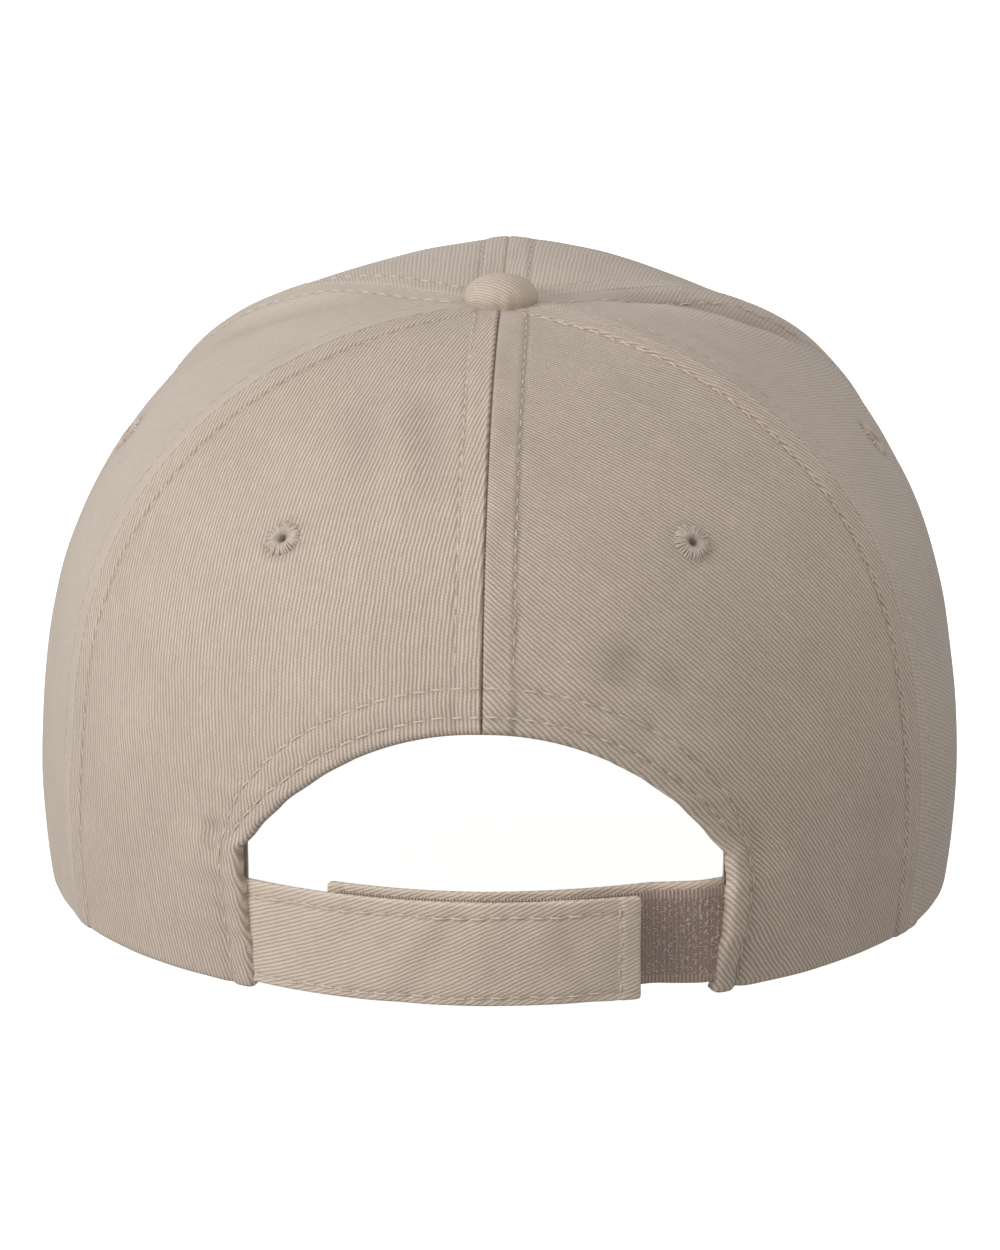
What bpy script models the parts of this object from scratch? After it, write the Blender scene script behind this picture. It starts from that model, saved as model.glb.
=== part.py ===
"""Six-panel baseball cap with a hook-and-loop strap closure.

World frame: metres, +Z up, +Y towards the visor, +X towards the wearer's right, origin on the floor
under the middle of the cap's outline.  The cap stands as it would on a table, on the visor's two side
edges and the back of the rim, so its rim plane leans back by FLOOR_TILT.

Cap frame (the empty cap_frame): the rim plane is z = 0.  Places on the crown are given by an angle
around it, 0 at the visor and positive towards +X, and by the share of the way from the button down to
the rim, measured along the cloth.
"""

import functools
import math

import bmesh
import bpy
import numpy as np
from mathutils import Matrix

# How the cap stands
FLOOR_TILT = math.radians(4.18)         # rim plane against the floor, back edge down
CAP_ORIGIN = (0.0, -0.0329, 0.00653)    # rim-plane centre in the world

# Crown: half sizes at the rim, and the height of its top
HALF_WIDTH = 0.0891
FRONT_REACH = 0.0973
BACK_REACH = 0.1020
CROWN_HEIGHT = 0.1096
RIM_RISE = 0.012                        # the rim climbs over the visor's arch
SIDE_DIP = 0.0014
RIM_TUCK = 0.022                        # the last 30 mm curl in by this share
TUCK_HEIGHT = 0.030
FRONT_LIFT = 0.0057                     # the stiff front panels stand up in front of the button
DOME_BACK = (1.976, 0.280)              # exponents of the meridian: soft back ...
DOME_FRONT = (3.284, 0.2635)            # ... and boxy, structured front
PANEL_FLATNESS = (0.815, 0.051)         # how flat a panel is between its seams: top, rim
PANELS = 6
PANEL_ANGLE = 2 * math.pi / PANELS
SEAM_GAP = 0.0005
LINING_GAP = 0.0030                     # the linings stop short of the seams
TOP_HOLE = 0.0042                       # radius left open at the top for the button's rivet
BUCKRAM_MARGIN = 0.04                   # share of the way down left clear above and below the buckram
ARCH_CUT = (-0.060, -0.120, -0.010)     # the arch's cutter runs from here to here in y, and starts this low

# Layers, as depths below the crown's outer face: (outer face, thickness)
PANEL = (0.0, 0.0008)
BUCKRAM = (0.00115, 0.0007)
TAPE = (0.00115, 0.0005)
TAPE_ON_BUCKRAM = (0.00220, 0.0005)
FACING = (0.00135, 0.0005)
STRAP = (0.00115, 0.0012)
HOOKS = (0.00265, 0.0007)
LOOP_THICKNESS = 0.0007
INNER_STRAP_DEPTH = 0.00465             # outer face of the inner strap where it lies under the outer one
BAND_FRONT_SHEET = (0.00310, 0.0004)
BAND_STIFFENER = (0.00380, 0.0006)
BAND_BACK_SHEET = (0.00470, 0.0004)

TAPE_WIDTH = 0.012
TAPE_SIDE_ANGLE = 0.04                  # near the top a tape keeps this angle from its panels' middles
TAPE_SPAN = (0.10, 0.95)                # shares of the way down
TAPE_SPAN_OVER_ARCH = (0.10, 0.55)
BAND_LOW, BAND_HIGH = 0.0012, 0.0320    # the sweatband's cloth, up from the rim
BAND_FOLD = 0.0009                      # height of the fold on top of it
BAND_CORE = (0.0017, 0.0314)            # its stiffener, up from the rim
BAND_END = 0.0050                       # its ends stand this far behind the hems

# Rear arch, cut through the back panels: an arc on top, upright hems below it
ARCH_RADIUS = 0.0495
ARCH_TOP = 0.052
HEM = 0.0432                            # the hems stand this far from the middle
ARCH_SWEEP = math.asin(HEM / ARCH_RADIUS)
FACING_INSET = 0.0015
FACING_WIDTH = 0.0095

# Straps
STRAP_BOTTOM = 0.0010
STRAP_WIDTH = 0.0202
INNER_LIFT = 0.0010                     # the inner strap sits a little higher
STRAP_START = HEM - 0.0015              # the free length starts this far from the middle
ROOT_SPAN = (HEM + 0.0004, HEM + 0.0170)    # the sewn length under the hem
OUTER_END = 0.0290                      # free end of the outer strap, past the middle
INNER_END = 0.0300
INNER_STEP = (0.0415, 0.0315)           # the inner strap steps in under the outer one here
PATCH_MARGIN = 0.0022
HOOK_START = 0.0130
LOOP_START = 0.0395
OUTER_HINGE = (HEM - 0.0008, -0.0012)   # hinge line: distance from the middle, depth
INNER_HINGE = (HEM - 0.0008, 0.0042)

# Visor
VISOR_ANGLE = math.radians(66)          # half of the rim's arc that carries the visor
VISOR_HALF_WIDTH = 0.0906
VISOR_CENTRE = 0.074                    # centre of the outline's ellipse
VISOR_REACH = 0.094
VISOR_SWEEP = math.radians(107)
VISOR_RADIUS = 0.147                    # curve of the arch from side to side
VISOR_SLOPE = 0.21                      # fall towards the front
VISOR_CLEARANCE = 0.0016                # from the rim to the visor's inner edge
VISOR_SEAT = 0.0023                     # middle of the board above the rim's lower edge
BOARD_THICKNESS = 0.0020
COVER_THICKNESS = 0.0008
COVER_OUTSIDE = 0.0021                  # outer face of a cover from the middle of the board
EDGE_CURL = math.radians(71)            # the covers curl this far round the edge
LAYER_GAP = 0.0003

# Button and eyelets
BUTTON_RADIUS = 0.0070
BUTTON_HEIGHT = 0.0044
BUTTON_WALL = 0.0007
BUTTON_LIFT = 0.0008                    # underside of the button above the crown's top
SHELL_WALL = 0.0005
SHELL_LIFT = 0.0002
DOME_ANGLES = (0, 18, 36, 54, 72, 90)
RIVET_RADIUS = 0.0016
RIVET_HEAD = (0.0028, 0.0005)           # radius, thickness
RIVET_FOOT = (0.0055, 0.0006, 0.0041)   # radius, thickness, depth of its underside below the button
EYELET_RADIUS = 0.0035
EYELET_HOLE = 0.0008
EYELET_BARREL = 0.0019
EYELET_OVER = (0.0004, 0.0010)          # heights of the outer flange above the cloth
EYELET_UNDER = (0.0006, 0.0010)         # depths of the inner flange below it
EYELET_EDGE = 0.0002                    # its flanges' rims slope by this much
EYELET_STEPS = 12
EYELET_CUT = 0.0080                     # length of the hole's cutter
EYELET_PLACES = {                       # angle around the crown, share of the way down
    "eyelet_front": (math.radians(30), 0.46),
    "eyelet_side": (math.radians(90), 0.47),
    "eyelet_back": (math.radians(151.5), 0.50),
}

ROWS = 16                               # every crown layer shares these rows
COLUMNS = 8
MERIDIAN_STEPS = 1200
TURN_STEPS = 16
STRAP_CELL = 0.0045                     # longest cell of a strap's mesh


def clear_scene():
    """Remove whatever the scene holds."""
    for item in list(bpy.data.objects):
        bpy.data.objects.remove(item, do_unlink=True)


def collection(name, hidden=False):
    """Make a collection in the scene."""
    made = bpy.data.collections.new(name)
    bpy.context.scene.collection.children.link(made)
    made.hide_render = hidden
    return made


def material(name, colour, roughness, metallic=0.0):
    """Make a Principled material."""
    made = bpy.data.materials.new(name)
    made.use_nodes = True
    shader = made.node_tree.nodes["Principled BSDF"]
    shader.inputs["Base Color"].default_value = (*colour, 1.0)
    shader.inputs["Roughness"].default_value = roughness
    shader.inputs["Metallic"].default_value = metallic
    made.diffuse_color = (*colour, 1.0)
    return made


# ---------------------------------------------------------------- the crown's surface

def smooth(x):
    """Smoothstep of x, held to 0 and 1 outside."""
    x = np.clip(x, 0.0, 1.0)
    return x * x * (3 - 2 * x)


def rim_height(theta):
    """Height of the rim: level at the back, arched over the visor."""
    front = max(math.cos(theta), 0.0)
    return RIM_RISE * front ** 3 - SIDE_DIP * math.sin(theta) ** 2


@functools.lru_cache(maxsize=None)
def meridian(theta):
    """Radius, height and length along the cloth, from the button to the rim, at one angle."""
    c, s = math.cos(theta), math.sin(theta)
    reach = FRONT_REACH if c > 0 else BACK_REACH
    rim_radius = 1 / math.hypot(s / HALF_WIDTH, c / reach)
    middle = (math.floor(theta / PANEL_ANGLE) + 0.5) * PANEL_ANGLE
    if abs(theta / PANEL_ANGLE - round(theta / PANEL_ANGLE)) < 1e-9:
        hollow = 0.0
    else:
        hollow = 1 - math.cos(PANEL_ANGLE / 2) / math.cos(theta - middle)
    boxy = float(smooth(0.5 + 0.5 * c))
    power = DOME_BACK[0] + (DOME_FRONT[0] - DOME_BACK[0]) * boxy
    fall = DOME_BACK[1] + (DOME_FRONT[1] - DOME_BACK[1]) * boxy
    phi = np.linspace(0, 1, MERIDIAN_STEPS) ** 2 * math.pi / 2
    reach_power = 1 - np.cos(phi) ** (1 / fall)
    share = reach_power ** (1 / power)
    rim = rim_height(theta)
    z = rim + (CROWN_HEIGHT - rim) * np.cos(phi)
    flatness = PANEL_FLATNESS[0] + (PANEL_FLATNESS[1] - PANEL_FLATNESS[0]) * reach_power
    r = rim_radius * share * (1 - flatness * hollow)
    r = r * (1 - RIM_TUCK * np.clip(1 - (z - rim) / TUCK_HEIGHT, 0, 1) ** 2)
    z = z + FRONT_LIFT * max(c, 0.0) ** 2 * np.sin(math.pi * share) ** 2
    length = np.concatenate([[0.0], np.cumsum(np.hypot(np.diff(r), np.diff(z)))])
    return r, z, length


def skin(theta, share):
    """Points on the crown's outer face; theta and share are arrays."""
    points = np.empty((len(theta), 3))
    for i, (angle, part) in enumerate(zip(theta, share)):
        r, z, length = meridian(float(angle))
        here = part * length[-1]
        radius = np.interp(here, length, r)
        points[i] = radius * math.sin(angle), radius * math.cos(angle), np.interp(here, length, z)
    return points


def skin_normal(theta, share):
    """Outward unit normals of the crown's outer face."""
    step = 1e-3
    across = skin(theta + step, share) - skin(theta - step, share)
    down = skin(theta, np.minimum(share + step, 1)) - skin(theta, np.maximum(share - step, 0))
    normal = np.cross(across, down)
    return normal / np.linalg.norm(normal, axis=1)[:, None]


def crown(theta, share, depth):
    """Points a depth below the crown's outer face."""
    return skin(theta, share) - skin_normal(theta, share) * np.reshape(depth, (-1, 1))


def crown_at_back(x, z, depth):
    """Points of the back of the crown at given x and height, pushed in by a depth."""
    theta = np.empty(len(x))
    share = np.empty(len(x))
    for i in range(len(x)):
        angle = math.pi
        for _ in range(12):
            r, height, length = meridian(angle)
            radius = np.interp(-z[i], -height, r)
            angle = math.pi - math.asin(x[i] / radius)
        r, height, length = meridian(angle)
        theta[i] = angle
        share[i] = np.interp(-z[i], -height, length) / length[-1]
    return crown(theta, share, depth)


def rim_share(theta, up):
    """Share of the way down that lies a length up the cloth from the rim."""
    return np.array([1 - up / meridian(float(angle))[2][-1] for angle in theta])


def seam_inset(seam, share, gap):
    """Angle that keeps a panel's edge half a gap from the seam."""
    radius = np.hypot(*skin(np.full(len(share), seam), share).T[:2])
    return np.arcsin(np.minimum(gap / 2 / radius, 1))


# ---------------------------------------------------------------- mesh helpers

def link(name, mesh, finish):
    """Put a mesh in the cap as a named object."""
    mesh.materials.append(finish)
    mesh.shade_smooth()
    mesh.set_sharp_from_angle(angle=math.radians(40))
    made = bpy.data.objects.new(name, mesh)
    cap.objects.link(made)
    made.parent = cap_frame
    return made


def patch(name, columns, rows, place, thickness, finish, offset=-1.0):
    """Bend a flat grid over place(u, v), u and v from 0 to 1, and thicken it to one side."""
    bm = bmesh.new()
    bmesh.ops.create_grid(bm, x_segments=columns, y_segments=rows, size=0.5)
    corner = np.array([vert.co[:2] for vert in bm.verts]) + 0.5
    for vert, point in zip(bm.verts, place(corner[:, 0], corner[:, 1])):
        vert.co = point
    mesh = bpy.data.meshes.new(name)
    bm.to_mesh(mesh)
    bm.free()
    made = link(name, mesh, finish)
    shell = made.modifiers.new("thickness", "SOLIDIFY")
    shell.thickness = thickness
    shell.offset = offset
    shell.use_even_offset = True
    return made


def turned(name, profile, place, finish, steps=TURN_STEPS, closed=False):
    """Turn a profile of (radius, height) points about a local Z axis set at place.

    A closed profile makes a ring; an open one starts and ends on the axis."""
    mesh = bpy.data.meshes.new(name)
    points = [(radius, 0.0, height) for radius, height in profile]
    edges = [(i, i + 1) for i in range(len(points) - 1)]
    if closed:
        edges.append((len(points) - 1, 0))
    mesh.from_pydata(points, edges, [])
    made = link(name, mesh, finish)
    made.matrix_local = place
    spin = made.modifiers.new("turn", "SCREW")
    spin.steps = steps
    spin.render_steps = steps
    spin.use_merge_vertices = True
    spin.merge_threshold = 0.00005
    return made


def facing(point, normal):
    """A frame at a point whose Z axis is the normal."""
    rotation = normal_vector(normal).to_track_quat("Z", "Y").to_matrix().to_4x4()
    return Matrix.Translation(point) @ rotation


def normal_vector(normal):
    """A mathutils vector from an array."""
    return Matrix.Translation(normal).to_translation()


def cut(target, cutter):
    """Cut a cutter out of a target."""
    hole = target.modifiers.new("cut_" + cutter.name, "BOOLEAN")
    hole.operation = "DIFFERENCE"
    hole.solver = "EXACT"
    hole.object = cutter


def make_cutter(name, mesh):
    """Put a mesh among the cutters."""
    made = bpy.data.objects.new(name, mesh)
    made.display_type = "WIRE"
    made.hide_render = True
    cutters.objects.link(made)
    made.parent = cap_frame
    return made


# ---------------------------------------------------------------- crown

def panel_span(index, u, share, gap):
    """Angles over one panel, clear of its two seams."""
    low = index * PANEL_ANGLE
    high = low + PANEL_ANGLE
    low_edge = low + seam_inset(low, share, gap)
    high_edge = high - seam_inset(high, share, gap)
    return low_edge + (high_edge - low_edge) * u


def top_share(theta):
    """Share of the way down at which the crown reaches the radius of the top hole."""
    r, z, length = meridian(theta)
    return float(np.interp(TOP_HOLE, r, length) / length[-1])


def make_panel(name, index, finish, layer=PANEL, gap=SEAM_GAP, margin=0.0):
    """One of the six panels, or its lining, which stops a margin short of the top and the rim."""
    start = max(top_share(index * PANEL_ANGLE), top_share((index + 1) * PANEL_ANGLE)) + margin
    end = 1 - margin

    def place(u, v):
        share = start + (end - start) * v
        return crown(panel_span(index, u, share, gap), share, layer[0])

    return patch(name, COLUMNS, ROWS, place, layer[1], finish)


def arch_point(angle, grow):
    """A point (x, z) of the arch's arc, or of one that lies outside it by grow."""
    radius = ARCH_RADIUS + grow
    return radius * np.sin(angle), ARCH_TOP - ARCH_RADIUS + radius * np.cos(angle)


def make_arch_cutter():
    """A prism through the back of the crown with the arch's outline."""
    near, far, foot = ARCH_CUT
    arc = [arch_point(angle, 0.0) for angle in np.linspace(-ARCH_SWEEP, ARCH_SWEEP, 25)]
    outline = [(-HEM, foot)] + arc + [(HEM, foot)]
    bm = bmesh.new()
    front = [bm.verts.new((x, near, z)) for x, z in outline]
    face = bm.faces.new(front)
    extruded = bmesh.ops.extrude_face_region(bm, geom=[face])
    moved = [item for item in extruded["geom"] if isinstance(item, bmesh.types.BMVert)]
    bmesh.ops.translate(bm, vec=(0, far - near, 0), verts=moved)
    bmesh.ops.recalc_face_normals(bm, faces=bm.faces)
    mesh = bpy.data.meshes.new("arch_cutter")
    bm.to_mesh(mesh)
    bm.free()
    return make_cutter("arch_cutter", mesh)


def make_seam_tape(name, seam, layer, span=TAPE_SPAN):
    """A tape behind one seam, over a span of shares of the way down."""
    start, end = span

    def place(u, v):
        share = start + (end - start) * v
        radius = np.hypot(*skin(np.full(len(share), seam), share).T[:2])
        half = np.minimum(TAPE_WIDTH / 2 / radius, PANEL_ANGLE / 2 - TAPE_SIDE_ANGLE)
        return crown(seam + (2 * u - 1) * half, share, layer[0])

    rows = round(ROWS * (end - start))
    return patch(name, 4, rows, place, layer[1], tape_cloth)


def make_arch_facing():
    """The tape that faces the arch inside, from hem to hem."""

    def place(u, v):
        grow = FACING_INSET + FACING_WIDTH * (1 - v)
        x, z = arch_point((2 * u - 1) * ARCH_SWEEP, grow)
        return crown_at_back(x, z, FACING[0])

    return patch("arch_facing", 24, 1, place, FACING[1], tape_cloth, offset=1.0)


def band_span(u):
    """Angles of the sweatband, from one side of the arch round the front to the other."""
    end = math.pi - math.asin((HEM + BAND_END) / BACK_REACH)
    return (2 * u - 1) * end


def make_sweatband():
    """A cloth cover folded over a stiffener, standing inside the rim."""
    low, high = BAND_LOW, BAND_HIGH

    def cover(u, v):
        theta = band_span(u)
        front, back = BAND_FRONT_SHEET[0], BAND_BACK_SHEET[0] + BAND_BACK_SHEET[1]
        turn = np.clip((v - 0.4) / 0.2, 0, 1) * math.pi
        middle, half = (front + back) / 2, (back - front) / 2
        depth = middle - half * np.cos(turn)
        climb = np.where(v < 0.5, np.clip(v / 0.4, 0, 1), np.clip((1 - v) / 0.4, 0, 1))
        up = low + (high - low) * climb + BAND_FOLD * np.sin(turn)
        return crown(theta, np.concatenate([rim_share([a], b) for a, b in zip(theta, up)]), depth)

    def stiffener(u, v):
        theta = band_span(u * 0.998 + 0.001)
        up = BAND_CORE[1] + (BAND_CORE[0] - BAND_CORE[1]) * v
        share = np.concatenate([rim_share([a], b) for a, b in zip(theta, up)])
        return crown(theta, share, BAND_STIFFENER[0])

    patch("sweatband_cover", 32, 5, cover, BAND_FRONT_SHEET[1], band_cloth, offset=1.0)
    patch("sweatband_stiffener", 32, 2, stiffener, BAND_STIFFENER[1], foam)


# ---------------------------------------------------------------- button and eyelets

def ring_profile(over, under):
    """Closed outline of an eyelet: a flange over the cloth, a barrel through it, a flange under it."""
    rim = EYELET_RADIUS - EYELET_EDGE
    return [
        (EYELET_HOLE, over[1]), (rim, over[1]), (EYELET_RADIUS, over[0]), (EYELET_BARREL, over[0]),
        (EYELET_BARREL, -under[0]), (rim, -under[0]), (rim, -under[1]), (EYELET_HOLE, -under[1]),
    ]


def make_eyelet(name, side, theta, share, lined):
    """A sewn eyelet and the hole that it lines in its panel."""
    angle = np.array([theta * side])
    part = np.array([share])
    point = skin(angle, part)[0]
    place = facing(point, skin_normal(angle, part)[0])
    deep = BUCKRAM[0] + BUCKRAM[1] if lined else PANEL[1]
    under = (deep + EYELET_UNDER[0], deep + EYELET_UNDER[1])
    turned(name, ring_profile(EYELET_OVER, under), place, thread, steps=EYELET_STEPS, closed=True)
    bm = bmesh.new()
    radius = EYELET_BARREL + LAYER_GAP
    bmesh.ops.create_cone(bm, cap_ends=True, segments=EYELET_STEPS, radius1=radius, radius2=radius,
                          depth=EYELET_CUT)
    mesh = bpy.data.meshes.new(name + "_cutter")
    bm.to_mesh(mesh)
    bm.free()
    hole = make_cutter(name + "_cutter", mesh)
    hole.matrix_local = place
    return hole


def dome(inset, low):
    """Outline of a dome that lies inside the button's outer face, from its top down."""
    arc = [math.radians(angle) for angle in DOME_ANGLES]
    return [((BUTTON_RADIUS - inset) * math.sin(a), low + (BUTTON_HEIGHT - inset) * math.cos(a)) for a in arc]


def make_button():
    """The covered button, its metal shell and the rivet that holds them through the crown's top."""
    place = Matrix.Translation((0.0, 0.0, CROWN_HEIGHT + BUTTON_LIFT))
    turned("button_cover", dome(0.0, 0.0) + dome(BUTTON_WALL, 0.0)[::-1], place, strap_cloth)
    gap = BUTTON_WALL + LAYER_GAP
    wall = gap + SHELL_WALL
    turned("button_shell", dome(gap, SHELL_LIFT) + dome(wall, SHELL_LIFT)[::-1], place, steel)
    top = BUTTON_HEIGHT - wall - LAYER_GAP
    head_radius, head_thickness = RIVET_HEAD
    foot_radius, foot_thickness, foot_depth = RIVET_FOOT
    rivet = [(0.0, top), (head_radius, top), (head_radius, top - head_thickness),
             (RIVET_RADIUS, top - head_thickness), (RIVET_RADIUS, foot_thickness - foot_depth),
             (foot_radius, foot_thickness - foot_depth), (foot_radius, -foot_depth), (0.0, -foot_depth)]
    turned("button_rivet", rivet, place, steel)


# ---------------------------------------------------------------- visor

def visor_plan(u, v, inset):
    """Plan of the visor: u runs round it from left to right, v from the crown out to its edge."""
    theta = (2 * u - 1) * VISOR_ANGLE
    rim = skin(theta, np.ones(len(theta)))
    away = rim[:, :2] / np.linalg.norm(rim[:, :2], axis=1)[:, None]
    near = rim[:, :2] + away * VISOR_CLEARANCE
    psi = (2 * u - 1) * VISOR_SWEEP
    edge = np.column_stack([(VISOR_HALF_WIDTH - inset) * np.sin(psi),
                            VISOR_CENTRE + (VISOR_REACH - inset) * np.cos(psi)])
    return near + (edge - near) * v[:, None], theta


def visor_sheet(u, v, height, inset=COVER_OUTSIDE, out=0.0):
    """Points of the visor a height above the middle of its board, moved out past its edge."""
    plan, theta = visor_plan(u, v, inset)
    psi = (2 * u - 1) * VISOR_SWEEP
    outward = np.column_stack([np.sin(psi), np.cos(psi)])
    plan = plan + outward * np.reshape(out, (-1, 1))
    x, y = plan.T
    seat = np.array([rim_height(angle) for angle in theta]) + VISOR_SEAT
    near, _ = visor_plan(u, np.zeros(len(u)), inset)
    arch = visor_arch(x, y) + (seat - visor_arch(*near.T)) * (1 - v) ** 2
    normal = np.column_stack([x / VISOR_RADIUS, np.full(len(x), VISOR_SLOPE), np.ones(len(x))])
    normal /= np.linalg.norm(normal, axis=1)[:, None]
    return np.column_stack([x, y, arch]) + normal * np.reshape(height, (-1, 1))


def visor_arch(x, y):
    """Height of the middle of the board: it falls to both sides and to the front."""
    return RIM_RISE + VISOR_SEAT - VISOR_SLOPE * (y - FRONT_REACH) - x ** 2 / (2 * VISOR_RADIUS)


def make_visor():
    """The board between its two covers, which meet along the edge."""
    columns, plate_rows, curl_rows = 22, 5, 2
    plate_share = plate_rows / (plate_rows + curl_rows)

    def board(u, v):
        return visor_sheet(u, v, 0.0)

    def cover(side):
        def place(u, v):
            plate = np.clip(v / plate_share, 0, 1)
            turn = np.clip((v - plate_share) / (1 - plate_share), 0, 1) * EDGE_CURL
            return visor_sheet(u, plate, side * COVER_OUTSIDE * np.cos(turn),
                               out=COVER_OUTSIDE * np.sin(turn))
        return place

    patch("visor_board", columns, plate_rows, board, BOARD_THICKNESS, plastic, offset=0.0)
    patch("visor_top_cover", columns, plate_rows + curl_rows, cover(1), COVER_THICKNESS, cap_cloth)
    patch("visor_under_cover", columns, plate_rows + curl_rows, cover(-1), COVER_THICKNESS, under_cloth,
          offset=1.0)


# ---------------------------------------------------------------- straps

def strap_sheet(start, end, low, high, depth):
    """A patch of strap on the back of the crown; depth is a function of x."""

    def place(u, v):
        x = start + (end - start) * u
        z = high + (low - high) * v
        return crown_at_back(x, z, depth(x))

    return place


def inner_depth(x):
    """Depth of the inner strap's outer face: it steps in to pass under the outer strap."""
    step = smooth((INNER_STEP[0] - x) / (INNER_STEP[0] - INNER_STEP[1]))
    return STRAP[0] + (INNER_STRAP_DEPTH - STRAP[0]) * step


def hinge_empty(name, x, depth):
    """An empty on a strap's hinge line, which is upright in the world."""
    made = bpy.data.objects.new(name, None)
    cap.objects.link(made)
    middle = STRAP_BOTTOM + STRAP_WIDTH / 2
    point = crown_at_back(np.array([x]), np.array([middle]), depth)[0]
    made.matrix_world = Matrix.Translation(cap_matrix @ normal_vector(point))
    return made


def hang(made, hinge):
    """Hang an object on a hinge without moving it."""
    made.parent = hinge
    made.matrix_local = hinge.matrix_world.inverted() @ cap_matrix


def make_straps():
    """Two straps sewn under the hem on either side of the arch, and the patches that join them."""
    outer_hinge = hinge_empty("outer_strap_hinge", -OUTER_HINGE[0], OUTER_HINGE[1])
    inner_hinge = hinge_empty("inner_strap_hinge", *INNER_HINGE)

    def sewn_depth(x):
        return STRAP[0]

    def hook_depth(x):
        return HOOKS[0]

    def loop_depth(x):
        return inner_depth(x) - LAYER_GAP - LOOP_THICKNESS

    parts = [
        ("outer_strap_root", (-ROOT_SPAN[1], -ROOT_SPAN[0]), 0.0, 0.0, sewn_depth, STRAP[1], strap_cloth),
        ("inner_strap_root", ROOT_SPAN, INNER_LIFT, 0.0, sewn_depth, STRAP[1], strap_cloth),
        ("outer_strap", (-STRAP_START, OUTER_END), 0.0, 0.0, sewn_depth, STRAP[1], strap_cloth),
        ("hook_patch", (-HOOK_START, OUTER_END - PATCH_MARGIN), 0.0, PATCH_MARGIN, hook_depth, HOOKS[1],
         hook_tape),
        ("inner_strap", (-INNER_END, STRAP_START), INNER_LIFT, 0.0, inner_depth, STRAP[1], strap_cloth),
        ("loop_patch", (-INNER_END + PATCH_MARGIN, LOOP_START), INNER_LIFT, PATCH_MARGIN, loop_depth,
         LOOP_THICKNESS, loop_tape),
    ]
    hinges = {"outer_strap": outer_hinge, "hook_patch": outer_hinge,
              "inner_strap": inner_hinge, "loop_patch": inner_hinge}
    for name, (start, end), lift, margin, depth, thickness, finish in parts:
        low = STRAP_BOTTOM + lift + margin
        high = STRAP_BOTTOM + STRAP_WIDTH + lift - margin
        sheet = strap_sheet(start, end, low, high, lambda x, d=depth: np.full(len(x), d(x)))
        made = patch(name, math.ceil((end - start) / STRAP_CELL), 2, sheet, thickness, finish, offset=1.0)
        if name in hinges:
            hang(made, hinges[name])


# ---------------------------------------------------------------- the cap

clear_scene()
cap = collection("baseball_cap")
cutters = collection("cutters", hidden=True)

cap_cloth = material("khaki_twill", (0.50, 0.41, 0.33), 0.9)
strap_cloth = material("strap_twill", (0.46, 0.37, 0.29), 0.9)
under_cloth = material("visor_under_twill", (0.48, 0.39, 0.31), 0.9)
tape_cloth = material("seam_tape_cotton", (0.47, 0.39, 0.31), 0.85)
band_cloth = material("sweatband_cotton", (0.50, 0.42, 0.34), 0.9)
stiff_cloth = material("buckram", (0.80, 0.78, 0.72), 0.8)
foam = material("sweatband_foam", (0.75, 0.73, 0.68), 0.9)
plastic = material("visor_board_plastic", (0.85, 0.85, 0.83), 0.5)
steel = material("button_steel", (0.60, 0.60, 0.58), 0.35, 1.0)
thread = material("eyelet_thread", (0.62, 0.53, 0.44), 0.7)
hook_tape = material("hook_tape", (0.24, 0.18, 0.14), 0.6)
loop_tape = material("loop_tape", (0.26, 0.20, 0.16), 0.95)

cap_matrix = Matrix.Translation(CAP_ORIGIN) @ Matrix.Rotation(FLOOR_TILT, 4, "X")
cap_frame = bpy.data.objects.new("cap_frame", None)
cap.objects.link(cap_frame)
cap_frame.matrix_world = cap_matrix

panel_names = ["front_panel_right", "side_panel_right", "back_panel_right",
               "back_panel_left", "side_panel_left", "front_panel_left"]
panels = {name: make_panel(name, index, cap_cloth) for index, name in enumerate(panel_names)}
panels["buckram_right"] = make_panel("buckram_right", 0, stiff_cloth, BUCKRAM, LINING_GAP, BUCKRAM_MARGIN)
panels["buckram_left"] = make_panel("buckram_left", PANELS - 1, stiff_cloth, BUCKRAM, LINING_GAP,
                                    BUCKRAM_MARGIN)

arch = make_arch_cutter()
cut(panels["back_panel_right"], arch)
cut(panels["back_panel_left"], arch)

for side, hand in ((1, "right"), (-1, "left")):
    for stem, (theta, share) in EYELET_PLACES.items():
        row = stem.removeprefix("eyelet_")
        hole = make_eyelet(f"{stem}_{hand}", side, theta, share, row == "front")
        cut(panels[f"{row}_panel_{hand}"], hole)
        if row == "front":
            cut(panels[f"buckram_{hand}"], hole)

make_seam_tape("seam_tape_front", 0.0, TAPE_ON_BUCKRAM)
make_seam_tape("seam_tape_back", math.pi, TAPE, TAPE_SPAN_OVER_ARCH)
for side, hand in ((1, "right"), (-1, "left")):
    make_seam_tape(f"seam_tape_front_{hand}", side * PANEL_ANGLE, TAPE_ON_BUCKRAM)
    make_seam_tape(f"seam_tape_side_{hand}", side * 2 * PANEL_ANGLE, TAPE)
make_arch_facing()
make_sweatband()
make_button()
make_visor()
make_straps()
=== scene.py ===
"""Looks of a six-panel baseball cap with a hook-and-loop strap closure.

Shapes are worked out in millimetres in the cap's own frame, whose z = 0 is the plane of the crown's rim, and
are moved into the row frame as each mesh is made.  A place on the crown is an angle around it, 0 at the
visor and positive towards +X, and the share of the way from the button down to the rim along the cloth.
"""

import math

import bmesh
import bpy
import numpy as np
from mathutils import Matrix, Vector


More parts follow.
